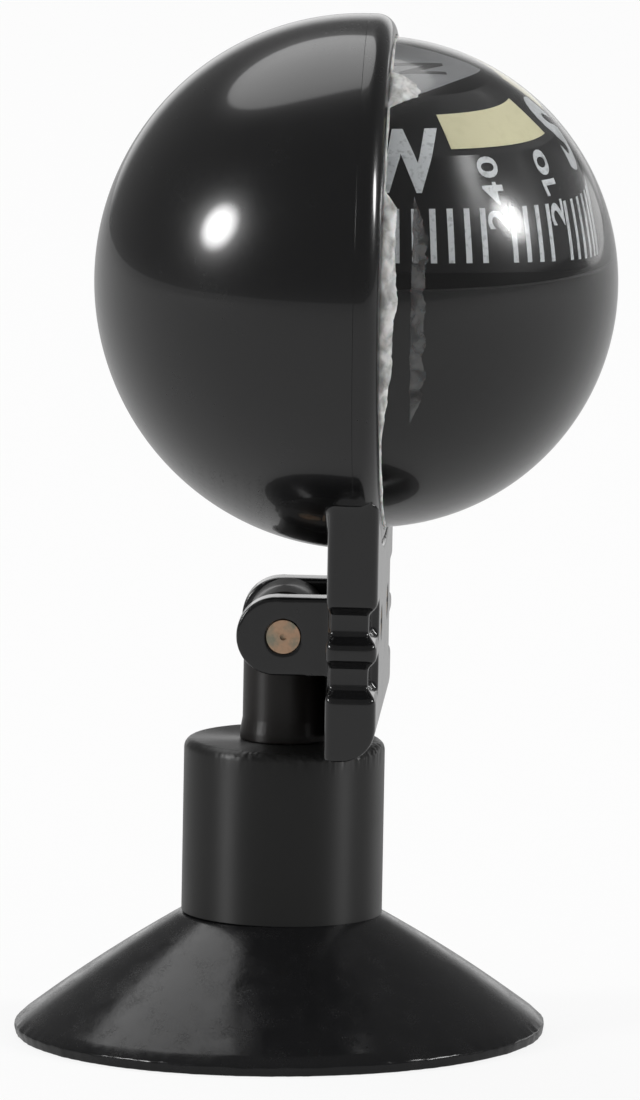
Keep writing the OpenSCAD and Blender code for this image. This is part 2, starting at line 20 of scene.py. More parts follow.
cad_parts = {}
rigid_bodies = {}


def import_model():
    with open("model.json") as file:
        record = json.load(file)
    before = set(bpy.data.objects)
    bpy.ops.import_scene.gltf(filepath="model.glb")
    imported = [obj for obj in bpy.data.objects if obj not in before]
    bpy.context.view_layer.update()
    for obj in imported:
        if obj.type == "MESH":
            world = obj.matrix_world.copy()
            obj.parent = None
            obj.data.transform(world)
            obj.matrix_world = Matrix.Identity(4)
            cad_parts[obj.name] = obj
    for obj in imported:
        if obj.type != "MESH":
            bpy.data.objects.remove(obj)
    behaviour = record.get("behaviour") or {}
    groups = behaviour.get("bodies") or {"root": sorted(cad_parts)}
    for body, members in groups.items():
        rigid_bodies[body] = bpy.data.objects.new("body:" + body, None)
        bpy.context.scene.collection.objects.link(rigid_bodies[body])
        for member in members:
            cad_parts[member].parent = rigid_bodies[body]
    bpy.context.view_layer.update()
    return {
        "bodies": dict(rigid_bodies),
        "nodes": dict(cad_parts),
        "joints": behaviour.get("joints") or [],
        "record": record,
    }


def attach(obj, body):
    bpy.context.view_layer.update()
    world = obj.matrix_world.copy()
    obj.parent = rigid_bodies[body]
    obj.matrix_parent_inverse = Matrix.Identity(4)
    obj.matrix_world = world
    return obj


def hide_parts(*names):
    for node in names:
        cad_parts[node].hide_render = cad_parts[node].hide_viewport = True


LOG = logging.getLogger("compass")
MM = 0.001
# A quarter turn as the shader counts it, where 1 is a full turn.
QUARTER_TURN = 0.25
# A point nearer to the axis than this is on it.
ON_AXIS_MM = 1e-6
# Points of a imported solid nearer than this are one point.
WELD_M = 2e-6
# An edge of a reworked solid that turns more than this stays sharp.
WORKED_CREASE_DEG = 60.0
# A noise runs from 0 to 1 with its middle here, and most of it lies within this spread.
NOISE_MIDDLE = 0.5
NOISE_SPREAD = 0.4
WHITE = (1.0, 1.0, 1.0, 1.0)

Pair = tuple[float, float]
Triple = tuple[float, float, float]
Outline = list[Pair]
Polygons = list[list[Pair]]
Faces = list[list[Vector]]
Step = tuple[str, Mapping[str, object]]


class Body(Enum):
    """The moving bodies that the built pieces ride on."""

    BASE = "base"
    STEM = "stem"
    HEAD = "head"
    CARD = "card"


class Cut(Enum):
    """What a cutting shape leaves of a solid."""

    INSIDE = "INTERSECT"
    OUTSIDE = "DIFFERENCE"


def linear(hex_colour: str) -> tuple[float, float, float, float]:
    """Turns an sRGB hex colour into linear values.

    Args:
        hex_colour: six hex digits after a hash.

    Returns:
        Red, green, blue and an alpha of 1.
    """
    shares = [int(hex_colour[i : i + 2], 16) / 255 for i in (1, 3, 5)]
    red, green, blue = (s / 12.92 if s <= 0.04045 else ((s + 0.055) / 1.055) ** 2.4 for s in shares)
    return red, green, blue, 1.0


def per_metre(size_mm: float) -> float:
    """Noise scale whose features are about size_mm across."""
    return 1.0 / (size_mm * MM)


def add_node(
    tree: bpy.types.NodeTree, kind: str, links: Optional[Mapping[object, object]] = None, **settings: object
) -> bpy.types.Node:
    """Adds one node with its settings and links.

    Args:
        tree: node tree that takes it.
        kind: Blender's name for the node.
        links: for each input, a value to set or another node's output to link.
        settings: properties of the node.

    Returns:
        The new node.
    """
    node = tree.nodes.new(kind)
    for name, value in settings.items():
        setattr(node, name, value)
    for key, value in (links or {}).items():
        if isinstance(value, bpy.types.NodeSocket):
            tree.links.new(value, node.inputs[key])
        else:
            node.inputs[key].default_value = value
    return node


def empty_tree(owner: Union[bpy.types.Material, bpy.types.Light, bpy.types.World]) -> bpy.types.NodeTree:
    """Turns on the nodes of a material, light or world, and clears them.

    Args:
        owner: what has the nodes.

    Returns:
        Its empty node tree.
    """
    owner.use_nodes = True
    owner.node_tree.nodes.clear()
    return owner.node_tree


@dataclass(frozen=True)
class Finish:
    """The finish of a piece, named for the real material."""

    name: str

    def surface(self, tree: bpy.types.NodeTree) -> bpy.types.NodeSocket:
        """Adds the finish's own nodes to a tree, and returns the shader at their end."""
        raise NotImplementedError

    def material(self) -> bpy.types.Material:
        """Builds the material.

        Returns:
            The new material.
        """
        material = bpy.data.materials.new(self.name)
        tree = empty_tree(material)
        add_node(tree, "ShaderNodeOutputMaterial", {"Surface": self.surface(tree)})
        return material


@dataclass(frozen=True)
class Moulded(Finish):
    """A moulded plastic or rubber: an even colour, a skin that is slightly uneven, and fine wear.

    The colour drifts between two tones. Roughness changes in soft patches and in fine scuffs, and the
    bump has a slow swell from shrinkage and a fine grain from the mould, each given as its size and its
    depth. A polished moulding has a sharp lobe on top of the wide one, which gives each lamp its halo of
    handling haze. A moulding from a turned tool has fine rings round its axis, which stretch each lamp
    into an upright band.
    """

    tones: tuple[str, str]
    roughness: float
    scuff: float
    swell_mm: Pair
    grain_mm: Pair
    patch_mm: float = 6.0
    scuffs_per_patch: float = 12.0
    streak: float = 1.0
    ior: float = 1.5
    haze: float = 0.5
    polish: float = 0.0
    polish_roughness: float = 0.05
    turned: float = 0.0

    def surface(self, tree: bpy.types.NodeTree) -> bpy.types.NodeSocket:
        """Adds the finish's nodes.

        Args:
            tree: node tree that takes them.

        Returns:
            The shader at their end.
        """
        place = add_node(tree, "ShaderNodeTexCoord").outputs["Object"]
        streaks = add_node(tree, "ShaderNodeMapping", {"Vector": place, "Scale": (1, 1, 1 / self.streak)})
        along = streaks.outputs["Vector"]
        # Where each pattern is taken, its size and its detail.
        patterns = (
            (along, self.patch_mm, 4.0),
            (along, self.patch_mm / self.scuffs_per_patch, 6.0),
            (place, self.swell_mm[0], 1.0),
            (place, self.grain_mm[0], 3.0),
        )
        patches, scuffs, swell, grain = (
            add_node(tree, "ShaderNodeTexNoise", {"Vector": at, "Scale": per_metre(size), "Detail": detail})
            for at, size, detail in patterns
        )
        tone = add_node(tree, "ShaderNodeMix", {
            "Factor": patches.outputs["Fac"], "A": linear(self.tones[0]), "B": linear(self.tones[1]),
        }, data_type="RGBA")
        worn = add_node(tree, "ShaderNodeMath", {
            0: patches.outputs["Fac"], 1: scuffs.outputs["Fac"],
        }, operation="MULTIPLY")
        rough = add_node(tree, "ShaderNodeMapRange", {
            "Value": worn.outputs[0], "From Min": 0.15, "From Max": 0.45,
            "To Min": self.roughness, "To Max": self.roughness + self.scuff,
        })
        slow = add_node(tree, "ShaderNodeBump", {
            "Height": swell.outputs["Fac"], "Distance": self.swell_mm[1] * MM, "Strength": 1.0,
        })
        bump = add_node(tree, "ShaderNodeBump", {
            "Height": grain.outputs["Fac"], "Distance": self.grain_mm[1] * MM, "Strength": 1.0,
            "Normal": slow.outputs["Normal"],
        })
        skin = {
            "Base Color": tone.outputs["Result"],
            "Roughness": rough.outputs["Result"],
            "IOR": self.ior,
            "Specular IOR Level": self.haze,
            "Coat Weight": self.polish,
            "Coat Roughness": self.polish_roughness,
            "Normal": bump.outputs["Normal"],
            "Coat Normal": slow.outputs["Normal"],
        }
        if self.turned:
            rings = add_node(tree, "ShaderNodeTangent", direction_type="RADIAL", axis="Z")
            skin["Tangent"] = rings.outputs["Tangent"]
            skin["Anisotropic"] = self.turned
            skin["Anisotropic Rotation"] = QUARTER_TURN
        return add_node(tree, "ShaderNodeBsdfPrincipled", skin).outputs[0]


@dataclass(frozen=True)
class Metal(Finish):
    """A turned, rolled or ground metal, with fine tool marks and patches of tarnish.

    The tones are the bare metal's and the tarnish's. The marks change the roughness by as much as
    mark_roughness says, from the shiniest to the dullest of them.
    """

    tones: tuple[str, str]
    roughness: float
    mark_mm: float
    mark_depth_mm: float = 0.03
    mark_roughness: Pair = (-0.08, 0.12)
    patch_mm: float = 1.2
    patch_edge: float = 0.12
    tarnish_share: float = 0.5

    def surface(self, tree: bpy.types.NodeTree) -> bpy.types.NodeSocket:
        """Adds the finish's nodes.

        Args:
            tree: node tree that takes them.

        Returns:
            The shader at their end.
        """
        place = add_node(tree, "ShaderNodeTexCoord").outputs["Object"]
        patches, marks = (
            add_node(tree, "ShaderNodeTexNoise", {"Vector": place, "Scale": per_metre(size), "Detail": fine})
            for size, fine in ((self.patch_mm, 5.0), (self.mark_mm, 4.0))
        )
        edge = NOISE_MIDDLE + (0.5 - self.tarnish_share) * NOISE_SPREAD
        cover = add_node(tree, "ShaderNodeMapRange", {
            "Value": patches.outputs["Fac"],
            "From Min": edge - self.patch_edge, "From Max": edge + self.patch_edge,
        })
        tone = add_node(tree, "ShaderNodeMix", {
            "Factor": cover.outputs["Result"], "A": linear(self.tones[0]), "B": linear(self.tones[1]),
        }, data_type="RGBA")
        rough = add_node(tree, "ShaderNodeMapRange", {
            "Value": marks.outputs["Fac"], "From Min": 0.3, "From Max": 0.7,
            "To Min": self.roughness + self.mark_roughness[0],
            "To Max": self.roughness + self.mark_roughness[1],
        })
        bump = add_node(tree, "ShaderNodeBump", {
            "Height": marks.outputs["Fac"], "Distance": self.mark_depth_mm * MM, "Strength": 0.6,
        })
        return add_node(tree, "ShaderNodeBsdfPrincipled", {
            "Base Color": tone.outputs["Result"],
            "Metallic": 1.0,
            "Roughness": rough.outputs["Result"],
            "Normal": bump.outputs["Normal"],
        }).outputs[0]


@dataclass(frozen=True)
class Print(Finish):
    """Screen-printed ink or a thin inlay: matt, with pinholes and thin spots.

    The tones are the full ink's and the thin spots', where the colour below shows.
    """

    tones: tuple[str, str]
    roughness: float
    pinhole_mm: float
    thin_share: float
    depth_mm: float = 0.02
    full_from: float = 0.72
    share_reach: float = 0.3
    edge: Pair = (-0.08, 0.06)

    def surface(self, tree: bpy.types.NodeTree) -> bpy.types.NodeSocket:
        """Adds the finish's nodes.

        Args:
            tree: node tree that takes them.

        Returns:
            The shader at their end.
        """
        place = add_node(tree, "ShaderNodeTexCoord").outputs["Object"]
        spots = add_node(tree, "ShaderNodeTexNoise", {
            "Vector": place, "Scale": per_metre(self.pinhole_mm), "Detail": 5.0,
        }).outputs["Fac"]
        middle = self.full_from - self.thin_share * self.share_reach
        cover = add_node(tree, "ShaderNodeMapRange", {
            "Value": spots, "From Min": middle + self.edge[0], "From Max": middle + self.edge[1],
        })
        tone = add_node(tree, "ShaderNodeMix", {
            "Factor": cover.outputs["Result"], "A": linear(self.tones[0]), "B": linear(self.tones[1]),
        }, data_type="RGBA")
        bump = add_node(tree, "ShaderNodeBump", {
            "Height": spots, "Distance": self.depth_mm * MM, "Strength": 0.5,
        })
        return add_node(tree, "ShaderNodeBsdfPrincipled", {
            "Base Color": tone.outputs["Result"],
            "Roughness": self.roughness,
            "Normal": bump.outputs["Normal"],
        }).outputs[0]


@dataclass(frozen=True)
class FilledAcrylic(Finish):
    """Clear acrylic filled with compass fluid. Both bend light alike, so they make one lens.

    Shadow rays pass straight through, so that the card inside is lit as it is through a real dome. A wide
    thin lobe on top is the haze of fine scratches, which gives each lamp its halo.
    """

    tint: str
    ior: float
    haze: float
    haze_roughness: float

    def surface(self, tree: bpy.types.NodeTree) -> bpy.types.NodeSocket:
        """Adds the finish's nodes.

        Args:
            tree: node tree that takes them.

        Returns:
            The shader at their end.
        """
        glass = add_node(tree, "ShaderNodeBsdfPrincipled", {
            "Base Color": linear(self.tint),
            "Roughness": 0.0,
            "IOR": self.ior,
            "Transmission Weight": 1.0,
            "Coat Weight": self.haze,
            "Coat Roughness": self.haze_roughness,
        })
        clear = add_node(tree, "ShaderNodeBsdfTransparent", {"Color": linear(self.tint)})
        shadow = add_node(tree, "ShaderNodeLightPath").outputs["Is Shadow Ray"]
        either = {0: shadow, 1: glass.outputs[0], 2: clear.outputs[0]}
        return add_node(tree, "ShaderNodeMixShader", either).outputs[0]


@dataclass(frozen=True)
class CuredGlue(Finish):
    """Solvent glue that dried in the air: whitish and lumpy, and clear where it is thin.

    The tones are those of the low and the high parts of its lumps, and the darker tone of the low parts is
    painted shade in their hollows. The cover is 1 where no light comes through the thickest of it.
    """

    tones: tuple[str, str]
    cover: float
    lump_mm: float = 1.7
    lump_depth_mm: float = 0.07
    least_cover: float = 0.55
    glow_mm: float = 0.5

    def surface(self, tree: bpy.types.NodeTree) -> bpy.types.NodeSocket:
        """Adds the finish's nodes.

        Args:
            tree: node tree that takes them.

        Returns:
            The shader at their end.
        """
        place = add_node(tree, "ShaderNodeTexCoord").outputs["Object"]
        lumps = add_node(tree, "ShaderNodeTexNoise", {
            "Vector": place, "Scale": per_metre(self.lump_mm), "Detail": 5.0, "Distortion": 0.4,
        }).outputs["Fac"]
        high = add_node(tree, "ShaderNodeMapRange", {"Value": lumps, "From Min": 0.35, "From Max": 0.65})
        # The low parts of the lumps take the darker tone: painted shade in the hollows.
        tone = add_node(tree, "ShaderNodeMix", {
            "Factor": high.outputs["Result"], "A": linear(self.tones[0]), "B": linear(self.tones[1]),
        }, data_type="RGBA")
        bump = add_node(tree, "ShaderNodeBump", {
            "Height": lumps, "Distance": self.lump_depth_mm * MM, "Strength": 1.0,
        })
        skin = add_node(tree, "ShaderNodeBsdfPrincipled", {
            "Base Color": tone.outputs["Result"],
            "Roughness": 0.42,
            "Subsurface Weight": 0.15,
            "Subsurface Scale": self.glow_mm * MM,
            "Normal": bump.outputs["Normal"],
        })
        clear = add_node(tree, "ShaderNodeBsdfTransparent")
        cover = add_node(tree, "ShaderNodeMapRange", {
            "Value": lumps, "From Min": 0.3, "From Max": 0.55,
            "To Min": self.cover * self.least_cover, "To Max": self.cover,
        })
        seen = {0: cover.outputs["Result"], 1: clear.outputs[0], 2: skin.outputs[0]}
        return add_node(tree, "ShaderNodeMixShader", seen).outputs[0]


@dataclass(frozen=True)
class WhitePaper(Finish):
    """The pale paper under the object.

    A share of it glows, so that the camera and the lens see it as white whatever the lamps do, and a
    mirror sees it dimmer.
    """

    tones: tuple[str, str]
    fibre_mm: float = 3.0
    white_share: float = 0.85
    mirror_share: float = 0.85
    mirror_level: float = 0.4

    def surface(self, tree: bpy.types.NodeTree) -> bpy.types.NodeSocket:
        """Adds the finish's nodes.

        Args:
            tree: node tree that takes them.

        Returns:
            The shader at their end.
        """
        place = add_node(tree, "ShaderNodeTexCoord").outputs["Object"]
        fibres = add_node(tree, "ShaderNodeTexNoise", {
            "Vector": place, "Scale": per_metre(self.fibre_mm), "Detail": 4.0,
        })
        tone = add_node(tree, "ShaderNodeMix", {
            "Factor": fibres.outputs["Fac"], "A": linear(self.tones[0]), "B": linear(self.tones[1]),
        }, data_type="RGBA")
        paper = add_node(tree, "ShaderNodeBsdfDiffuse", {"Color": tone.outputs["Result"]})
        ray = add_node(tree, "ShaderNodeLightPath").outputs
        level = add_node(tree, "ShaderNodeMix", {
            "Factor": ray["Is Glossy Ray"], "A": 1.0, "B": self.mirror_level,
        }, data_type="FLOAT")
        glow = add_node(tree, "ShaderNodeEmission", {"Color": WHITE, "Strength": level.outputs["Result"]})
        seen = add_node(tree, "ShaderNodeMath", {
            0: ray["Is Camera Ray"], 1: ray["Is Transmission Ray"],
        }, operation="MAXIMUM").outputs[0]
        straight, mirrored = (
            add_node(tree, "ShaderNodeMath", {0: value, 1: part}, operation="MULTIPLY").outputs[0]
            for value, part in ((seen, self.white_share), (ray["Is Glossy Ray"], self.mirror_share))
        )
        share = add_node(tree, "ShaderNodeMath", {0: straight, 1: mirrored}, operation="MAXIMUM")
        mixed = {0: share.outputs[0], 1: paper.outputs[0], 2: glow.outputs[0]}
        return add_node(tree, "ShaderNodeMixShader", mixed).outputs[0]


# Black ABS from a polished mould: deep gloss, sharp lamps with a halo, a faint swell in the reflections.
SHELL_ABS = Moulded(
    "abs_polished_black", ("#0A0A0B", "#0E0E0F"), roughness=0.23, scuff=0.05,
    swell_mm=(9.0, 0.012), grain_mm=(0.5, 0.0004), haze=0.45, polish=0.78,
)
# Black ABS from a turned, unpolished mould: half gloss, with each lamp as a soft upright band.
STEM_ABS = Moulded(
    "abs_moulded_black", ("#151312", "#1C1917"), roughness=0.38, scuff=0.06,
    swell_mm=(4.0, 0.035), grain_mm=(0.5, 0.0012), turned=0.8,
)
# Dark grey ABS from a turned mould: satin, each lamp an upright band, with faint streaks down the side.
COLLAR_ABS = Moulded(
    "abs_satin_black", ("#151515", "#191918"), roughness=0.39, scuff=0.05,
    swell_mm=(7.0, 0.03), grain_mm=(0.25, 0.0012), patch_mm=3.0, streak=1.6, haze=0.55, turned=0.8,
)
# Soft PVC rubber, poured and glossy, with greasy patches that spread the light.
CUP_RUBBER = Moulded(
    "pvc_rubber_gloss", ("#161617", "#1B1B1C"), roughness=0.12, scuff=0.22,
    swell_mm=(11.0, 0.08), grain_mm=(0.6, 0.004), patch_mm=2.6, haze=0.4,
)
# Nitrile rubber of the seals inside: matt.
SEAL_RUBBER = Moulded(
    "nitrile_rubber", ("#101010", "#171717"), roughness=0.5, scuff=0.15,
    swell_mm=(4.0, 0.02), grain_mm=(0.3, 0.006),
)
# Black ABS inside the capsule: matt, so that the card stands out.
INNER_ABS = Moulded(
    "abs_matt_black", ("#050505", "#080808"), roughness=0.6, scuff=0.05,
    swell_mm=(5.0, 0.001), grain_mm=(0.3, 0.0003), haze=0.25,
)
# Black lacquer on the card: smooth and half matt.
CARD_LACQUER = Moulded(
    "lacquer_half_matt_black", ("#040405", "#070708"), roughness=0.17, scuff=0.05,
    swell_mm=(4.0, 0.004), grain_mm=(0.2, 0.0004), haze=0.3,
)
# Expanded plastic of the float: white, fine cells.
FLOAT_FOAM = Moulded(
    "foam_white", ("#D8D8D2", "#C9C9C2"), roughness=0.7, scuff=0.1,
    swell_mm=(3.0, 0.03), grain_mm=(0.35, 0.03),
)
# Synthetic ruby of the bearing: deep red, polished.
RUBY = Moulded(
    "synthetic_ruby", ("#7A1020", "#5E0C18"), roughness=0.06, scuff=0.02,
    swell_mm=(2.0, 0.001), grain_mm=(0.3, 0.0004), ior=1.76,
)
# Tarnished brass of the rivet, hammered flat: dull, with greyish patches.
RIVET_BRASS = Metal(
    "brass_tarnished", ("#E3BE9F", "#B3AE9B"), 0.45, mark_mm=0.4, patch_mm=1.6, tarnish_share=0.35
)
# Turned brass of the adjusters: yellow, with fine tool marks.
TURNED_BRASS = Metal("brass_turned", ("#C9A25E", "#A9854A"), 0.28, mark_mm=0.2)
# Zinc-plated steel: bright grey.
PLATED_STEEL = Metal("steel_zinc_plated", ("#C3C6CA", "#A8ABAF"), 0.3, mark_mm=0.25)
# Dark ground steel of the magnets.
MAGNET_STEEL = Metal("magnet_steel", ("#6A6B6E", "#55565A"), 0.45, mark_mm=0.3)
# White screen ink of the scale, thin in places.
WHITE_INK = Print("ink_white", ("#D3D6D8", "#B0B3B5"), 0.5, pinhole_mm=0.5, thin_share=0.35)
# Cream luminous paint of the four blocks, thick and even.
CREAM_PAINT = Print("paint_luminous_cream", ("#D7D1AC", "#D2CCA6"), 0.6, pinhole_mm=1.6, thin_share=0.4)
# Pale grey lacquer of the card's top.
TOP_LACQUER = Print("lacquer_pale_grey", ("#8C8D8F", "#828386"), 0.45, pinhole_mm=2.0, thin_share=0.4)
# Black ink of the letters on the card's top.
BLACK_INK = Print("ink_black", ("#101012", "#2A2A2C"), 0.5, pinhole_mm=0.4, thin_share=0.25)
# Clear acrylic and the fluid in it.
DOME_FILL = FilledAcrylic("acrylic_filled_clear", "#FBFCFC", ior=1.36, haze=1.0, haze_roughness=0.26)
# Cured glue of the seam: whitish, with painted shade that makes its hollows greyer.
SEAM_GLUE = CuredGlue("glue_cured_white", ("#C6C6C4", "#ECECEA"), cover=1.0)
# The thin smear beside it, which the dome shows through, with painted shade that makes its hollows darker.
GLUE_FILM = CuredGlue("glue_film_grey", ("#3C3C3C", "#6E6E6E"), cover=0.7)
# Uncoated white paper under the object.
FLOOR_PAPER = WhitePaper("paper_white", ("#F8F8F8", "#FCFCFC"))

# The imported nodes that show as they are, by finish.
NODE_FINISHES = {
    PLATED_STEEL: ("swivel_washer", "swivel_screw", "pivot_needle"),
    RIVET_BRASS: ("hinge_rivet",),
    SEAL_RUBBER: ("capsule_gasket", "expansion_diaphragm", "fill_plug"),
    INNER_ABS: ("capsule_bowl", "diaphragm_ring", "bowl_liner", "pivot_post"),
    FLOAT_FOAM: ("card_float",),
    RUBY: ("jewel_cup",),
    MAGNET_STEEL: ("card_magnets", "north_trim_magnet", "east_trim_magnet"),
    TURNED_BRASS: ("north_adjuster", "east_adjuster"),
}


class Wardrobe:
    """Keeps one material for each finish."""

    def __init__(self) -> None:
        """Starts with no materials."""
        self.made: dict[Finish, bpy.types.Material] = {}

    def dress(self, piece: bpy.types.Object, finish: Finish) -> None:
        """Puts a finish on every slot of a piece, and makes its material the first time.

        Args:
            piece: the piece.
            finish: its finish.
        """
        if finish not in self.made:
            self.made[finish] = finish.material()
        if not piece.material_slots:
            piece.data.materials.append(self.made[finish])
        for slot in piece.material_slots:
            slot.material = self.made[finish]
        LOG.info("%s is finished in %s", piece.name, finish.name)


def in_scene(name: str, build: bmesh.types.BMesh, place: Optional[Matrix] = None) -> bpy.types.Object:
    """Turns a working mesh into an object of the scene, and frees it.

    Args:
        name: the object's name.
        build: the working mesh, in mm where there is a place and in metres where there is none.
        place: matrix in metres from the mesh's own frame to the row's frame.

    Returns:
        The new object, at the origin, with its place in its mesh.
    """
    mesh = bpy.data.meshes.new(name)
    build.to_mesh(mesh)
    build.free()
    if place is not None:
        mesh.transform(place @ Matrix.Scale(MM, 4))
    piece = bpy.data.objects.new(name, mesh)
    bpy.context.scene.collection.objects.link(piece)
    return piece


def smooth_faces(build: bmesh.types.BMesh, crease_deg: float) -> None:
    """Makes all faces smooth, and keeps corners sharp.

    Args:
        build: the working mesh.
        crease_deg: an edge that turns more than this stays sharp, and so does an open one.
    """
    limit = math.radians(crease_deg)
    for face in build.faces:
        face.smooth = True
    for edge in build.edges:
        edge.smooth = len(edge.link_faces) == 2 and edge.calc_face_angle(0.0) < limit


def object_of(
    name: str, build: bmesh.types.BMesh, place: Matrix, crease_deg: float = 38.0
) -> bpy.types.Object:
    """Turns a closed working mesh in mm into an object with smooth faces and sharp creases.

    Args:
        name: the piece's name.
        build: mesh in mm in the piece's own frame. It is freed.
        place: matrix in metres from that frame to the row's frame.
        crease_deg: edges that turn more than this stay sharp.

    Returns:
        The new object, at the origin, with its place in its mesh.
    """
    bmesh.ops.recalc_face_normals(build, faces=build.faces[:])
    smooth_faces(build, crease_deg)
    return in_scene(name, build, place)


def applied(source: bpy.types.Object) -> bmesh.types.BMesh:
    """Takes the final shape of an object with modifiers or of a text, and removes the object.

    Args:
        source: the object.

    Returns:
        Its shape as a working mesh.
    """
    bpy.context.view_layer.update()
    depsgraph = bpy.context.evaluated_depsgraph_get()
    mesh = bpy.data.meshes.new_from_object(source.evaluated_get(depsgraph))
    bpy.data.objects.remove(source)
    build = bmesh.new()
    build.from_mesh(mesh)
    bpy.data.meshes.remove(mesh)
    return build


def reworked(name: str, nodes: Sequence[bpy.types.Object], steps: Sequence[Step]) -> bpy.types.Object:
    """Joins copies of some solids and runs modifiers on them.

    Args:
        name: the new piece's name.
        nodes: the solids, which stay as they are.
        steps: kind and settings of each modifier.

    Returns:
        The new piece, with its modifiers applied.
    """
    copies = bmesh.new()
    for node in nodes:
        copies.from_mesh(node.data)
    bmesh.ops.remove_doubles(copies, verts=copies.verts[:], dist=WELD_M)
    whole = in_scene(name + "_copy", copies)
    for kind, settings in steps:
        modifier = whole.modifiers.new(kind.lower(), kind)
        for key, value in settings.items():
            setattr(modifier, key, value)
    build = applied(whole)
    smooth_faces(build, WORKED_CREASE_DEG)
    return in_scene(name, build)


def cutting(cutter: bpy.types.Object, leaves: Cut) -> Step:
    """Modifier that cuts with an object."""
    return "BOOLEAN", {"object": cutter, "operation": leaves.value, "solver": "EXACT"}


def softening(voxel_mm: float, rounds: int) -> list[Step]:
    """Modifiers that round a solid's edges as a mould does: an even skin, and rounds of smoothing."""
    skin = {"mode": "VOXEL", "voxel_size": voxel_mm * MM}
    return [("REMESH", skin), ("SMOOTH", {"factor": 0.5, "iterations": rounds})]


def spin(outline: Outline, turns: int, closed: bool) -> bmesh.types.BMesh:
    """Spins an outline of (radius, height) about Z.

    Args:
        outline: points in mm. A point on the axis becomes a pole.
        turns: steps round the circle.
        closed: whether the last point joins the first.

    Returns:
        The mesh in mm.
    """
    build = bmesh.new()
    angles = [2 * math.pi * i / turns for i in range(turns)]
    rings = []
    for radius, height in outline:
        if radius < ON_AXIS_MM:
            rings.append([build.verts.new((0, 0, height))])
            continue
        places = ((radius * math.cos(angle), radius * math.sin(angle), height) for angle in angles)
        rings.append([build.verts.new(place) for place in places])
    pairs = list(zip(rings, rings[1:])) + ([(rings[-1], rings[0])] if closed else [])
    for low, high in pairs:
        for i in range(turns):
            j = (i + 1) % turns
            corners = [low[i % len(low)], low[j % len(low)], high[j % len(high)], high[i % len(high)]]
            unique = list(dict.fromkeys(corners))
            if len(unique) > 2:
                build.faces.new(unique)
    return build


def bow(start: Pair, end: Pair, bulge: float, steps: int) -> Outline:
    """Draws a shallow curve.

    Args:
        start: its first point in mm.
        end: its last point.
        bulge: how far it stands off the straight line, to the left from start to end.
        steps: its steps.

    Returns:
        Its points.
    """
    a, b = Vector(start), Vector(end)
    along = (b - a).normalized()
    side = Vector((-along.y, along.x))
    shares = (i / steps for i in range(steps + 1))
    return [tuple(a.lerp(b, t) + side * (4 * bulge * t * (1 - t))) for t in shares]


def arc(centre: Pair, radius: float, start_deg: float, end_deg: float, steps: int) -> Outline:
    """Points of an arc about centre."""
    angles = (math.radians(start_deg + (end_deg - start_deg) * i / steps) for i in range(steps + 1))
    return [(centre[0] + radius * math.cos(a), centre[1] + radius * math.sin(a)) for a in angles]


def rounded(corners: Sequence[Triple], steps: int = 8) -> Outline:
    """Rounds the corners of a closed outline.

    Args:
        corners: x, y and corner radius in mm.
        steps: steps of each rounding.

    Returns:
        The outline's points.
    """
    points: Outline = []
    for i, (x, y, radius) in enumerate(corners):
        if radius <= 0:
            points.append((x, y))
            continue
        here = Vector((x, y))
        before = Vector(corners[i - 1][:2]) - here
        after = Vector(corners[(i + 1) % len(corners)][:2]) - here
        half = before.angle(after) / 2
        # The rounding ends before the next corner.
        longest = 0.98 * min(before.length, after.length)
        reach = min(radius / math.tan(half), longest)
        inner = reach * math.tan(half)
        middle = (before.normalized() + after.normalized()).normalized()
        centre = here + middle * (inner / math.sin(half))
        first = here + before.normalized() * reach - centre
        last = here + after.normalized() * reach - centre
        turn = math.atan2(first.x * last.y - first.y * last.x, first.dot(last))
        for k in range(steps + 1):
            points.append(tuple(centre + Matrix.Rotation(turn * k / steps, 2) @ first))
    return points


def ladder(left: float, right: float, low: float, high: float, steps: int) -> Polygons:
    """Cuts an upright rectangle into steps that can wrap round a curve.

    Args:
        left: its left side.
        right: its right side.
        low: its foot.
        high: its top.
        steps: how many pieces.

    Returns:
        The pieces' corners.
    """
    levels = [low + (high - low) * k / steps for k in range(steps + 1)]
    return [[(left, a), (right, a), (right, b), (left, b)] for a, b in zip(levels, levels[1:])]


def shift_points(build: bmesh.types.BMesh, shift: Callable[[Vector], float]) -> None:
    """Moves each vertex along its normal.

    Args:
        build: the working mesh in mm.
        shift: says for a place how far, in mm.
    """
    build.normal_update()
    moves = [(v, v.normal * shift(v.co)) for v in build.verts]
    for vert, move in moves:
        vert.co += move


def layered_noise(place: Vector, layers: Sequence[Pair]) -> float:
    """Adds up noises, each given by how much finer it is and by its strength."""
    return sum(strength * noise.noise(place * finer) for finer, strength in layers)


@dataclass(frozen=True)
class Places:
    """Frames of the leaned stand, the head and the card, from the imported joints."""

    stand: Matrix
    head: Matrix
    card: Matrix

    @staticmethod
    def from_frame(frame: Mapping, tip_rise: float, card_turn_deg: float) -> "Places":
        """Reads the places from the joints.

        Args:
            tip_rise: height of the needle's tip over the dome's centre, in mm.
            card_turn_deg: turn of the card at rest.

        Returns:
            The three frames, in metres.
        """
        joints = {joint["name"]: joint for joint in frame["joints"]}
        up = joints["stem_swivel"]["axis"]
        hang = joints["card_spin"]["axis"]
        lean = Matrix.Rotation(math.atan2(-up[1], up[2]), 4, "X")
        dip = Matrix.Rotation(math.atan2(hang[0], hang[2]), 4, "Y")
        turn = Matrix.Rotation(math.radians(card_turn_deg), 4, "Z")
        pin = Matrix.Translation(joints["head_tilt"]["pos_m"])
        tip = Matrix.Translation(joints["card_spin"]["pos_m"])
        down = Matrix.Translation((0, 0, -tip_rise * MM))
        return Places(lean, pin @ lean, tip @ dip @ turn @ down)


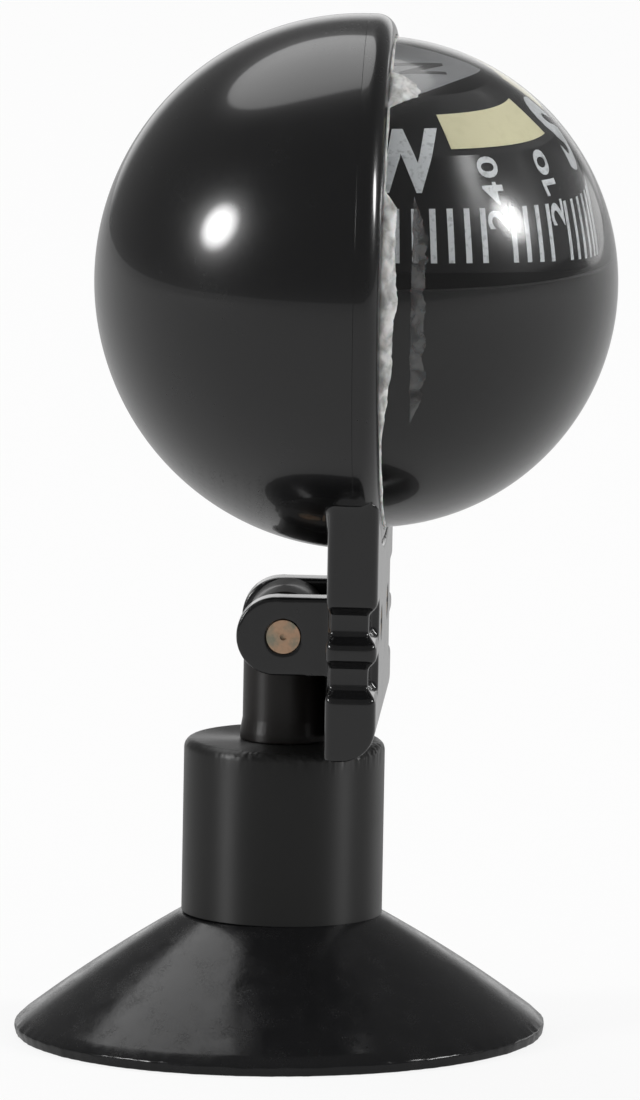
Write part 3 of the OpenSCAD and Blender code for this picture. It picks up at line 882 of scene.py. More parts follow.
@dataclass
class Base:
    """The suction cup and the collar over its plug. Sizes are in mm.

    The flank swells and the lip has nicks. The collar's top edge is chipped, most at wear_azimuth_deg, by
    coarse chips and by fine ones, and a bias makes either leave more than it adds.
    """

    cup_r: float = 27.5
    cup_h: float = 12.7
    cup_turns: int = 320
    lip_t: float = 1.0
    lip_slope: float = 0.9
    lip_edge_r: float = 0.45
    lip_draft: float = 0.25
    lip_foot_w: float = 1.2
    lip_foot_r: float = 0.18
    hollow_h: float = 9.2
    hollow_bulge: float = 3.0
    flank_bulge: float = 0.3
    flat_foot: float = 0.01
    flank_swell: float = 0.05
    swell_size: float = 9.0
    nick_depth: float = 0.12
    nick_size: float = 0.9
    nick_reach: float = 0.8
    nick_bias: float = 0.2
    plug_r: float = 8.2
    plug_top: float = 20.0
    plug_foot: float = 0.1
    plug_play: float = 0.2
    plug_room_h: float = 7.7
    collar_r: float = 10.4
    collar_h: float = 18.1
    collar_turns: int = 420
    collar_edge_r: float = 1.0
    collar_foot_r: float = 0.12
    collar_flat_w: float = 2.2
    collar_rings: Pair = (2.4, 2.0)
    collar_bore_r: float = 3.45
    collar_bore_edge_r: float = 0.15
    collar_top_t: float = 3.2
    washer_room_r: float = 6.2
    wear_azimuth_deg: float = 215.0
    wear_reach: float = 1.6
    wear_sunk: float = 0.3
    wear_least: float = 0.02
    wear_most: float = 0.13
    wear_focus: int = 3
    chip_sizes: Pair = (0.45, 0.17)
    fine_chips: float = 0.6
    chip_bias: float = 0.3

    def cup(self) -> bpy.types.Object:
        """Builds the rubber cup with a soft lip and an uneven flank.

        Returns:
            The cup.
        """
        shoulder = (self.cup_r - self.lip_slope, self.lip_t + self.lip_slope)
        foot = (self.cup_r - self.lip_foot_w, 0)
        lip = rounded([
            (*shoulder, 0),
            (self.cup_r, self.lip_t, self.lip_edge_r),
            (self.cup_r - self.lip_draft, 0, self.lip_foot_r),
            (*foot, 0),
        ])
        plug = [(0, self.plug_top), (self.plug_r, self.plug_top), (self.plug_r, self.cup_h + self.plug_foot)]
        flank = bow((self.collar_r, self.cup_h), shoulder, self.flank_bulge, steps=60)
        hollow = bow(foot, (0, self.hollow_h), -self.hollow_bulge, steps=40)
        build = spin(plug + flank + lip[1:] + hollow[1:], self.cup_turns, False)

        def uneven(co: Vector) -> float:
            """Slow swell of the flank, and fine nicks at the lip.

            Args:
                co: a place on the cup.

            Returns:
                How far the skin stands out there.
            """
            radius = math.hypot(co.x, co.y)
            if radius < self.collar_r or co.z < self.flat_foot:
                return 0.0
            swell = self.flank_swell * noise.noise(co / self.swell_size)
            at_lip = max(0.0, 1 - abs(radius - self.cup_r) / self.nick_reach)
            return swell + self.nick_depth * at_lip * (noise.noise(co / self.nick_size) - self.nick_bias)

        shift_points(build, uneven)
        for vert in build.verts:
            vert.co.z = max(0.0, vert.co.z)
        return object_of("cup_moulding", build, Matrix.Identity(4))

    def collar(self, place: Matrix) -> bpy.types.Object:
        """Builds the collar with a rounded and worn top edge.

        Args:
            place: the leaned stand's frame.

        Returns:
            The collar.
        """
        top = self.collar_h
        ceiling = top - self.collar_top_t
        bore_in = self.plug_r + self.plug_play
        outline = rounded([
            (self.collar_r, 0, self.collar_foot_r),
            (self.collar_r, top / 2, 0),
            # Rings on the straight side keep its faces short below the worn edge.
            *((self.collar_r, top - under, 0) for under in self.collar_rings),
            (self.collar_r, top, self.collar_edge_r),
            (self.collar_r - self.collar_flat_w, top, 0),
            (self.collar_bore_r, top, self.collar_bore_edge_r),
            (self.collar_bore_r, ceiling, 0),
            (self.washer_room_r, ceiling, 0),
            (self.washer_room_r, self.plug_room_h, 0),
            (bore_in, self.plug_room_h, 0),
            (bore_in, 0, 0),
        ], steps=14)
        build = spin(outline, self.collar_turns, True)
        towards = math.radians(self.wear_azimuth_deg)
        worn = Vector((math.cos(towards), math.sin(towards)))

        def wear(co: Vector) -> float:
            """Chips along the top edge, deepest where the edge is worn.

            Args:
                co: a place on the collar.

            Returns:
                How far the skin stands out there.
            """
            radius = math.hypot(co.x, co.y)
            from_edge = math.hypot(radius - self.collar_r + self.wear_sunk, co.z - top + self.wear_sunk)
            if from_edge > self.wear_reach or radius < self.collar_r - self.wear_reach:
                return 0.0
            facing = max(0.0, co.xy.normalized().dot(worn)) ** self.wear_focus
            depth = (self.wear_least + self.wear_most * facing) * (1 - from_edge / self.wear_reach)
            coarse, fine = (noise.noise(co / size) for size in self.chip_sizes)
            return depth * (coarse + self.fine_chips * fine - self.chip_bias)

        shift_points(build, wear)
        lift = Matrix.Translation((0, 0, self.cup_h * MM))
        return object_of("collar_moulding", build, place @ lift, crease_deg=60)


@dataclass
class Casing:
    """The ball's rear shell, the bezel ring and the tab that both share. Sizes are in mm."""

    ball_r: float = 27.69
    shell_t: float = 2.2
    ball_rise: float = 36.15
    ball_fwd: float = 7.15
    seam_fwd: float = 7.4
    seam_gap: float = 0.03
    front_fwd: float = 10.1
    edge_r: float = 2.1
    bore_r: float = 25.6
    bore_edge_r: float = 0.12
    shoulder_fwd: float = 8.6
    rebate_r: float = 26.05
    lip_r: float = 26.9
    lip_back_fwd: float = 6.2
    root_r: float = 27.2
    tab_half_w: float = 20.0
    tab_low: float = -13.0
    tab_high: float = 19.0
    voxel: float = 0.15
    soft_rounds: int = 28
    turns: int = 320
    shell_turns: int = 300
    cutter_turns: int = 128
    cutter_fwd: float = 40.0
    cutter_depth: float = 60.0
    cutter_h: float = 80.0

    def axis(self, head: Matrix) -> Matrix:
        """Frame of turned shapes: the origin at the ball's height over the pin, and Z towards the dial."""
        lift = Matrix.Translation((0, 0, self.ball_rise * MM))
        return head @ lift @ Matrix.Rotation(math.radians(90), 4, "X")

    def shell(self, head: Matrix) -> bpy.types.Object:
        """Builds the half ball.

        Args:
            head: the head's frame.

        Returns:
            The half ball.
        """
        inner = self.ball_r - self.shell_t
        rise = math.degrees(math.asin((self.seam_fwd - self.seam_gap - self.ball_fwd) / self.ball_r))
        outside = arc((0, self.ball_fwd), self.ball_r, -90, rise, steps=150)
        inside = arc((0, self.ball_fwd), inner, 0, -90, steps=40)
        rim = [(self.ball_r - self.seam_gap, self.seam_fwd), (inner, self.seam_fwd)]
        return object_of("shell_ball", spin(outside + rim + inside, self.shell_turns, False), self.axis(head))

    def bezel(self, head: Matrix) -> bpy.types.Object:
        """Builds the ring round the dome.

        Args:
            head: the head's frame.

        Returns:
            The ring.
        """
        outline = rounded([
            (self.ball_r, self.seam_fwd, self.seam_gap),
            (self.ball_r, self.front_fwd, self.edge_r),
            (self.bore_r, self.front_fwd, self.bore_edge_r),
            (self.bore_r, self.shoulder_fwd, 0),
            (self.rebate_r, self.shoulder_fwd, 0),
            (self.rebate_r, self.lip_back_fwd, 0),
            (self.lip_r, self.lip_back_fwd, 0),
            (self.lip_r, self.seam_fwd, 0),
        ], steps=12)
        return object_of("bezel_ring", spin(outline, self.turns, True), self.axis(head))

    def tab(self, shell: bpy.types.Object, bezel: bpy.types.Object, head: Matrix) -> list[bpy.types.Object]:
        """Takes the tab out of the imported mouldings, softens its edges and cuts it at the seam.

        Args:
            shell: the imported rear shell.
            bezel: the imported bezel.
            head: the head's frame.

        Returns:
            The tab's rear and front halves. They end inside the wall of the ball and of the ring.
        """
        middle = (self.tab_low + self.tab_high) / 2
        room = (2 * self.tab_half_w, self.cutter_depth, self.tab_high - self.tab_low)
        keep = self.block("tab_keep", head, (0, 0, middle), room)
        front = self.cutter_fwd
        tube = [(0, self.ball_fwd), (self.root_r, self.ball_fwd), (self.root_r, front), (0, front)]
        sphere = arc((0, self.ball_fwd), self.root_r, -90, 90, steps=64)
        ring, ball = (
            object_of(name, spin(outline, self.cutter_turns, False), self.axis(head))
            for name, outline in (("tab_ring", tube), ("tab_ball", sphere))
        )
        cuts = [cutting(keep, Cut.INSIDE), cutting(ring, Cut.OUTSIDE), cutting(ball, Cut.OUTSIDE)]
        parts = [reworked("tab_part", [node], cuts) for node in (shell, bezel)]
        whole = reworked("tab_whole", parts, softening(self.voxel, self.soft_rounds))
        halves = []
        room = (4 * self.tab_half_w, self.cutter_depth, self.cutter_h)
        for name, side in (("shell_tab", 1), ("bezel_tab", -1)):
            behind = side * self.cutter_depth / 2 - self.seam_fwd
            half = self.block(name + "_half", head, (0, behind, middle), room)
            halves.append(reworked(name, [whole], [cutting(half, Cut.INSIDE)]))
            bpy.data.objects.remove(half)
        for extra in (whole, *parts, keep, ring, ball):
            bpy.data.objects.remove(extra)
        return halves

    @staticmethod
    def block(name: str, head: Matrix, middle: Triple, size: Triple) -> bpy.types.Object:
        """Builds a box to cut with.

        Args:
            name: its name.
            head: the head's frame.
            middle: its middle in that frame.
            size: its size.

        Returns:
            The box.
        """
        build = bmesh.new()
        bmesh.ops.create_cube(build, size=1.0)
        build.transform(Matrix.Translation(middle) @ Matrix.Diagonal((*size, 1)))
        return object_of(name, build, head)


@dataclass
class Capsule:
    """The clear dome and the fluid in it, as one lens. Sizes are in mm."""

    dome_r: float = 25.4
    dome_fwd: float = 8.2
    clamp_fwd: float = 7.6
    fill_r: float = 24.1
    bowl_fwd: float = 6.8
    fill_back_fwd: float = -10.9
    turns: int = 320

    def lens(self, axis: Matrix) -> bpy.types.Object:
        """Builds the lens: the dome outside, and behind it a back that stays inside the bowl's wall.

        Args:
            axis: frame of the turned shapes.

        Returns:
            The lens.
        """
        front = arc((0, self.dome_fwd), self.dome_r, 90, 0, steps=160)
        low = math.degrees(math.asin((self.fill_back_fwd - self.bowl_fwd) / self.fill_r))
        back = arc((0, self.bowl_fwd), self.fill_r, 0, low, steps=40)
        clamp = [(self.dome_r, self.clamp_fwd), (self.fill_r, self.clamp_fwd)]
        outline = front + clamp + back + [(0, self.fill_back_fwd)]
        return object_of("filled_dome", spin(outline, self.turns, False), axis, crease_deg=30)


@dataclass
class Card:
    """The compass card and its printing. Sizes are in mm, in the card's own frame."""

    tip_rise: float = 8.5
    turn_deg: float = 15.6
    rim_r: float = 17.5
    rim_z: float = 1.2
    foot_z: float = 2.4
    waist_r: float = 16.9
    waist_z: float = 7.35
    knee_r: float = 15.1
    knee_z: float = 12.3
    top_r: float = 9.8
    top_z: float = 17.6
    wall: float = 0.7
    turns: int = 240
    tick_step_deg: float = 6.0
    tick_w: float = 0.62
    tick_low: float = 2.1
    tick_high: float = 7.3
    tick_pieces: int = 6
    number_step_deg: int = 30
    number_low: float = 5.2
    number_high: float = 12.1
    number_w: float = 2.45
    figure_gap: float = 0.4
    figure_weight: float = 0.02
    one_share: float = 0.62
    one_stroke: float = 0.36
    one_flag: Pair = (1.25, 0.3)
    most_figures: int = 3
    letter_low: float = 8.8
    letter_high: float = 14.75
    letter_w: float = 7.9
    letter_weight: float = 0.042
    narrow_share: float = 0.6
    north_share: float = 0.72
    west_shift_deg: float = 3.4
    south_shift_deg: float = -5.0
    block_half_deg: float = 30.0
    block_shift_deg: float = -2.0
    block_low: float = 12.85
    block_high: float = 15.9
    block_pieces: int = 24
    pale_r: float = 9.65
    pale_side: float = 7.15
    pale_turn_deg: float = 7.0
    pale_corner: int = 12
    top_letter_out: float = 5.9
    top_letter_in: float = 1.8
    top_letter_w: float = 3.1
    top_letter_weight: float = 0.03
    ink_t: float = 0.05
    ink_weld: float = 0.004

    def side(self) -> Outline:
        """Outline of the card's side, from the rim up to the top's edge."""
        skirt = [(self.rim_r, self.rim_z), (self.rim_r, self.foot_z), (self.waist_r, self.waist_z)]
        return skirt + [(self.knee_r, self.knee_z), (self.top_r, self.top_z)]

    def section_at(self, height: float) -> tuple[float, Vector]:
        """Finds the side at a height.

        Args:
            height: height over the dome's centre, between the rim and the top.

        Returns:
            Its radius, and its outward normal as (radial, up).
        """
        side = self.side()
        stretches = zip(side, side[1:])
        (r0, z0), (r1, z1) = next(stretch for stretch in stretches if height <= stretch[1][1])
        radius = r0 + (height - z0) / (z1 - z0) * (r1 - r0)
        return radius, Vector((z1 - z0, r0 - r1)).normalized()

    def wrapped(self, azimuth: float, height: float) -> Vector:
        """Finds a point of the ink's outside on the card's side.

        Args:
            azimuth: radians from local +X, anticlockwise from above.
            height: height over the dome's centre.

        Returns:
            The point in the card's frame.
        """
        radius, out = self.section_at(height)
        radius += self.ink_t * out.x
        return Vector((radius * math.cos(azimuth), radius * math.sin(azimuth), height + self.ink_t * out.y))

    def on_side(self, flat: Polygons, heading: float) -> Faces:
        """Wraps flat polygons on the side.

        Args:
            flat: polygons of (mm to the viewer's right, height).
            heading: heading at their middle.

        Returns:
            The wrapped faces.
        """
        middle = self.azimuth_of(heading)
        return [[self.wrapped(middle + x / self.section_at(z)[0], z) for x, z in shape] for shape in flat]

    @staticmethod
    def azimuth_of(heading_deg: float) -> float:
        """Azimuth of a heading's mark: north at +Y, and headings grow clockwise from above."""
        return math.radians(90 - heading_deg)

    def has_number(self, heading: float) -> bool:
        """Whether a number stands at a heading. The four quarters have letters instead."""
        return heading % self.number_step_deg == 0 and heading % 90 != 0

    def body(self, place: Matrix) -> bpy.types.Object:
        """Builds the card itself, a thin cap that is open below.

        Args:
            place: the card's frame.

        Returns:
            The card.
        """
        outside = [(0, self.top_z)] + self.side()[::-1]
        # The inside is also down by a third of the wall at the knee, and in by a third at the top.
        slant = self.wall / 3
        inside = [
            (self.rim_r - self.wall, self.rim_z),
            (self.rim_r - self.wall, self.foot_z),
            (self.waist_r - self.wall, self.waist_z),
            (self.knee_r - self.wall, self.knee_z - slant),
            (self.top_r - slant, self.top_z - self.wall),
            (0, self.top_z - self.wall),
        ]
        return object_of("card_cap", spin(outside + inside, self.turns, False), place, crease_deg=20)

    def ticks(self) -> Faces:
        """Draws the scale, with no tick under a number.

        Returns:
            Its faces.
        """
        half = self.tick_w / 2
        tick = ladder(-half, half, self.tick_low, self.tick_high, self.tick_pieces)
        headings = (i * self.tick_step_deg for i in range(round(360 / self.tick_step_deg)))
        return [face for h in headings if not self.has_number(h) for face in self.on_side(tick, h)]

    def numbers(self) -> Faces:
        """Draws the numbers, turned so that they read upwards.

        Returns:
            Their faces.
        """
        faces: Faces = []
        middle = (self.number_high + self.number_low) / 2
        for heading in filter(self.has_number, range(0, 360, self.number_step_deg)):
            words = str(heading)
            flat, length = self.figures(words)
            low = middle - length / 2 if len(words) == self.most_figures else self.number_high - length
            turned = [[(-(y - self.number_w / 2), low + x) for x, y in shape] for shape in flat]
            faces += self.on_side(turned, heading)
        return faces

    def figures(self, words: str) -> tuple[Polygons, float]:
        """Draws figures one after the other along a line.

        Args:
            words: the figures.

        Returns:
            Their polygons in mm, and the length of the whole.
        """
        shares = [self.one_share if word == "1" else 1.0 for word in words]
        gaps = (self.most_figures - 1) * self.figure_gap
        fullest = self.most_figures - 1 + self.one_share
        unit = (self.number_high - self.number_low - gaps) / max(fullest, sum(shares))
        polygons: Polygons = []
        place = 0.0
        for word, share in zip(words, shares):
            width = unit * share
            plain = partial(lettering, word, weight=self.figure_weight)
            draw = self.flagged_one if word == "1" else plain
            polygons += [[(place + x, y) for x, y in shape] for shape in draw(width, self.number_w)]
            place += width + self.figure_gap
        return polygons, place - self.figure_gap

    def flagged_one(self, width: float, height: float) -> Polygons:
        """Draws a 1 with a long flag and no foot.

        Args:
            width: its width in mm.
            height: its height.

        Returns:
            Its polygons.
        """
        stroke = self.one_stroke * width
        left = width - stroke
        low, high = (height - drop * stroke for drop in self.one_flag)
        flag = [(0, low), (left, height - stroke), (left, height), (0, high)]
        return ladder(left, width, 0.0, height, steps=5) + [flag]

    def letters(self) -> Faces:
        """Draws the four large letters, across the knee.

        Returns:
            Their faces.
        """
        faces: Faces = []
        for heading, letter, share in (
            (0, "N", self.north_share),
            (90, "E", self.narrow_share),
            (180 + self.south_shift_deg, "S", self.narrow_share),
            (270 + self.west_shift_deg, "W", 1.0),
        ):
            width = self.letter_w * share
            flat = lettering(letter, width, self.letter_high - self.letter_low, self.letter_weight)
            placed = [[(x - width / 2, self.letter_low + y) for x, y in shape] for shape in flat]
            faces += self.on_side(placed, heading)
        return faces

    def blocks(self) -> Faces:
        """Draws the cream blocks between the letters.

        Returns:
            Their faces.
        """
        faces: Faces = []
        low, high = self.block_low, self.block_high
        for corner in range(45, 360, 90):
            first = corner + self.block_shift_deg - self.block_half_deg
            steps = (2 * self.block_half_deg * k / self.block_pieces for k in range(self.block_pieces + 1))
            turns = [self.azimuth_of(first + step) for step in steps]
            for a, b in zip(turns, turns[1:]):
                corners = ((a, low), (b, low), (b, high), (a, high))
                faces.append([self.wrapped(turn, height) for turn, height in corners])
        return faces

    def pale_top(self) -> Faces:
        """Draws the pale square on the top, whose round corners point at the letters.

        Returns:
            Its one face.
        """
        rim = []
        for i in range(self.turns):
            angle = 2 * math.pi * i / self.turns
            off_side = (angle - math.radians(self.pale_turn_deg)) % (math.pi / 2) - math.pi / 4
            square = self.pale_side / math.cos(off_side)
            radius = (square**-self.pale_corner + self.pale_r**-self.pale_corner) ** (-1 / self.pale_corner)
            rim.append(Vector((radius * math.cos(angle), radius * math.sin(angle), self.top_z + self.ink_t)))
        return [rim]

    def top_letters(self) -> Faces:
        """Draws the black letters on the top. They name the true side, so each faces its opposite below.

        Returns:
            Their faces.
        """
        faces: Faces = []
        lift = Vector((0, 0, self.top_z + 2 * self.ink_t))
        tall = self.top_letter_out - self.top_letter_in
        for heading, letter in ((0, "S"), (90, "W"), (180, "N"), (270, "E")):
            out = self.azimuth_of(heading)
            away = Vector((math.cos(out), math.sin(out), 0))
            right = Vector((-math.sin(out), math.cos(out), 0))
            foot = away * self.top_letter_out
            for shape in lettering(letter, self.top_letter_w, tall, self.top_letter_weight):
                flat = [foot + right * (x - self.top_letter_w / 2) - away * y for x, y in shape]
                faces.append([point + lift for point in flat])
        return faces

    def printing(self, name: str, faces: Faces, place: Matrix) -> bpy.types.Object:
        """Builds one colour of printing as thin solids.

        Args:
            name: the piece's name.
            faces: its faces in the card's frame.
            place: the card's frame.

        Returns:
            The piece.
        """
        build = bmesh.new()
        for face in faces:
            build.faces.new([build.verts.new(point) for point in face])
        bmesh.ops.remove_doubles(build, verts=build.verts[:], dist=self.ink_weld)
        piece = in_scene(name, build, place)
        solid = piece.modifiers.new("ink", "SOLIDIFY")
        solid.thickness = self.ink_t * MM
        solid.offset = -1.0
        return piece


def lettering(words: str, width: float, height: float, weight: float) -> Polygons:
    """Draws plain sans-serif characters as flat polygons, cut small enough to wrap.

    Args:
        words: the characters.
        width: width of the whole in mm.
        height: height of the characters in mm.
        weight: how far the strokes are thickened, as a share of the size.

    Returns:
        Polygons with their lower left corner at the origin.
    """
    curve = bpy.data.curves.new("lettering", "FONT")
    curve.body = words
    curve.offset = weight
    curve.resolution_u = 4
    holder = bpy.data.objects.new("lettering", curve)
    bpy.context.scene.collection.objects.link(holder)
    build = applied(holder)
    low = [min(v.co[i] for v in build.verts) for i in (0, 1)]
    high = [max(v.co[i] for v in build.verts) for i in (0, 1)]
    for vert in build.verts:
        vert.co.x = (vert.co.x - low[0]) / (high[0] - low[0]) * width
        vert.co.y = (vert.co.y - low[1]) / (high[1] - low[1]) * height
    piece_mm = 0.5
    for axis, length in ((Vector((1, 0, 0)), width), (Vector((0, 1, 0)), height)):
        for i in range(1, math.ceil(length / piece_mm)):
            everything = build.verts[:] + build.edges[:] + build.faces[:]
            bmesh.ops.bisect_plane(build, geom=everything, plane_co=axis * i * piece_mm, plane_no=axis)
    polygons = [[(v.co.x, v.co.y) for v in face.verts] for face in build.faces]
    build.free()
    return polygons


@dataclass
class Glue:
    """The glue in the seam: a lumpy bead on the dome against the bezel, and a thin smear beside it.

    Sizes are in mm. An angle is counted round the dome from the side where the bead is widest, upwards.
    The layers of a wave say how much finer each is, and its strength.
    """

    dome_r: float = 25.4
    dome_fwd: float = 8.2
    bezel_fwd: float = 10.0
    under_bezel: float = 0.1
    sunk: float = 0.12
    pieces_across: int = 10
    pieces_per_deg: float = 2.5
    lump: float = 0.5
    lump_deg: float = 2.2
    lumps_across: float = 2.5
    bead_w: float = 1.6
    bead_t: float = 0.3
    thin_w: float = 0.3
    thin_t: float = 0.14
    least_w: float = 0.12
    bead_top_deg: float = 30.0
    bead_low_deg: float = -32.0
    top_taper_deg: float = 4.0
    taper_deg: float = 26.0
    bead_uneven: float = 0.16
    edge_uneven: float = 0.1
    waves: float = 6.0
    wave_layers: tuple[Pair, ...] = ((1, 1), (3.1, 0.5), (9, 0.3))
    blob_deg: float = 60.0
    blob_half_deg: float = 6.5
    blob_w: float = 3.5
    blob_t: float = 0.45
    blob_share: float = 0.8
    blob_uneven: float = 0.4
    film_from_deg: float = -27.0
    film_to_deg: float = 29.0
    film_taper_deg: float = 8.0
    film_off: float = 3.2
    film_w: float = 1.4
    film_t: float = 0.03
    film_least: float = 0.05
    film_uneven: float = 0.25
    film_edge_uneven: float = 0.15
    film_wave_deg: float = 4.0
    film_wave_row: float = 3.0
    film_wave_layers: tuple[Pair, ...] = ((1, 1), (3, 0.5))

    def ribbon(
        self, name: str, axis: Matrix, span_deg: Pair, edges: Callable[[float], Triple]
    ) -> bpy.types.Object:
        """Builds a lumpy ribbon on the dome.

        Args:
            name: the piece's name.
            axis: frame of the turned shapes.
            span_deg: first and last angle.
            edges: for an angle, the near edge and the far edge as fwd distances, and the thickness.

        Returns:
            The piece.
        """
        span = span_deg[1] - span_deg[0]
        steps = round(span * self.pieces_per_deg)
        closed = span >= 360
        across = self.pieces_across
        build = bmesh.new()
        rows = []
        for i in range(steps if closed else steps + 1):
            angle = span_deg[0] + span * i / steps
            near, far, thick = edges(angle)
            turn = math.radians(180 - angle)
            row = []
            for outside, order in ((True, range(across + 1)), (False, range(across - 1, 0, -1))):
                for k in order:
                    share = k / across
                    fwd = near + (far - near) * share
                    crown = math.sqrt(1 - (2 * share - 1) ** 2)
                    place = Vector((angle / self.lump_deg, share * self.lumps_across, near))
                    lump = 1 + self.lump * noise.noise(place)
                    rise = thick * crown * lump if outside else -self.sunk * crown
                    ring = math.sqrt(self.dome_r**2 - (fwd - self.dome_fwd) ** 2) + rise
                    row.append(build.verts.new((ring * math.cos(turn), ring * math.sin(turn), fwd)))
            rows.append(row)
        count = len(rows[0])
        for low, high in zip(rows, rows[1:] + rows[:1] if closed else rows[1:]):
            for k in range(count):
                build.faces.new([low[k], low[(k + 1) % count], high[(k + 1) % count], high[k]])
        if not closed:
            build.faces.new(rows[0])
            build.faces.new(rows[-1])
        return object_of(name, build, axis, crease_deg=80)

    def bead(self, axis: Matrix) -> bpy.types.Object:
        """Builds the bead that runs all the way round.

        Args:
            axis: frame of the turned shapes.

        Returns:
            The bead.
        """

        def edges(angle: float) -> Triple:
            """Width and thickness of the bead at an angle.

            Args:
                angle: the angle in degrees.

            Returns:
                Its near edge, its far edge and its thickness.
            """
            turn = math.radians(angle)
            place = Vector((math.cos(turn), math.sin(turn), 0)) * self.waves
            rough = layered_noise(place, self.wave_layers)
            from_top = (self.bead_top_deg - angle) / self.top_taper_deg
            from_low = (angle - self.bead_low_deg) / self.taper_deg
            grown = max(0.0, min(1.0, from_top, from_low))
            blob = max(0.0, 1 - ((angle - self.blob_deg) / self.blob_half_deg) ** 2)
            width = self.thin_w + (self.bead_w - self.thin_w) * grown * (1 + self.bead_uneven * rough)
            width += self.blob_w * blob * (self.blob_share + self.blob_uneven * rough)
            width += self.edge_uneven * rough
            thick = self.thin_t + (self.bead_t - self.thin_t) * grown + self.blob_t * blob
            return self.bezel_fwd - self.under_bezel, self.bezel_fwd + max(self.least_w, width), thick

        return self.ribbon("seam_glue", axis, (-180.0, 180.0), edges)

    def film(self, axis: Matrix) -> bpy.types.Object:
        """Builds the thin smear beside the bead.

        Args:
            axis: frame of the turned shapes.

        Returns:
            The smear.
        """

        def edges(angle: float) -> Triple:
            """Width and thickness of the smear at an angle.

            Args:
                angle: the angle in degrees.

            Returns:
                Its near edge, its far edge and its thickness.
            """
            place = Vector((angle / self.film_wave_deg, self.film_wave_row, 0))
            rough = layered_noise(place, self.film_wave_layers)
            inside = min(angle - self.film_from_deg, self.film_to_deg - angle)
            grown = max(self.film_least, min(1.0, inside / self.film_taper_deg))
            near = self.bezel_fwd + self.film_off + self.film_edge_uneven * rough
            return near, near + self.film_w * grown * (1 + self.film_uneven * rough), self.film_t

        return self.ribbon("glue_smear", axis, (self.film_from_deg, self.film_to_deg), edges)


@dataclass(frozen=True)
class Lamp:
    """A soft round lamp. Lengths are in metres.

    Its direction is from the object's middle: right and up as the camera sees them, and towards it. It
    looks back along that direction, or square down the one in facing. Its level is the brightness of its
    face, where 1 is white, and its rim is the width of its soft rim as a share of its size.
    """

    name: str
    direction: Triple
    size: Pair
    level: float
    rim: float
    distance: float = 1.5
    facing: Optional[Triple] = None


# A round lamp at each side, a round soft box overhead, and a pale panel behind on the right.
LAMPS = (
    Lamp("left_lamp", (-0.860, 0.338, 0.36), (0.59, 0.51), level=22.5, rim=0.3),
    Lamp("right_lamp", (0.868, 0.405, 0.26), (0.62, 0.47), level=22.5, rim=0.3),
    Lamp(
        "soft_box", (-0.286, 1.32, -0.572), (1.42, 1.29), level=1.65, rim=0.04,
        distance=1.46671, facing=(0, 1, 0),
    ),
    Lamp("side_panel", (0.68, 0.18, -0.71), (1.0, 0.3), level=1.2, rim=0.1),
)


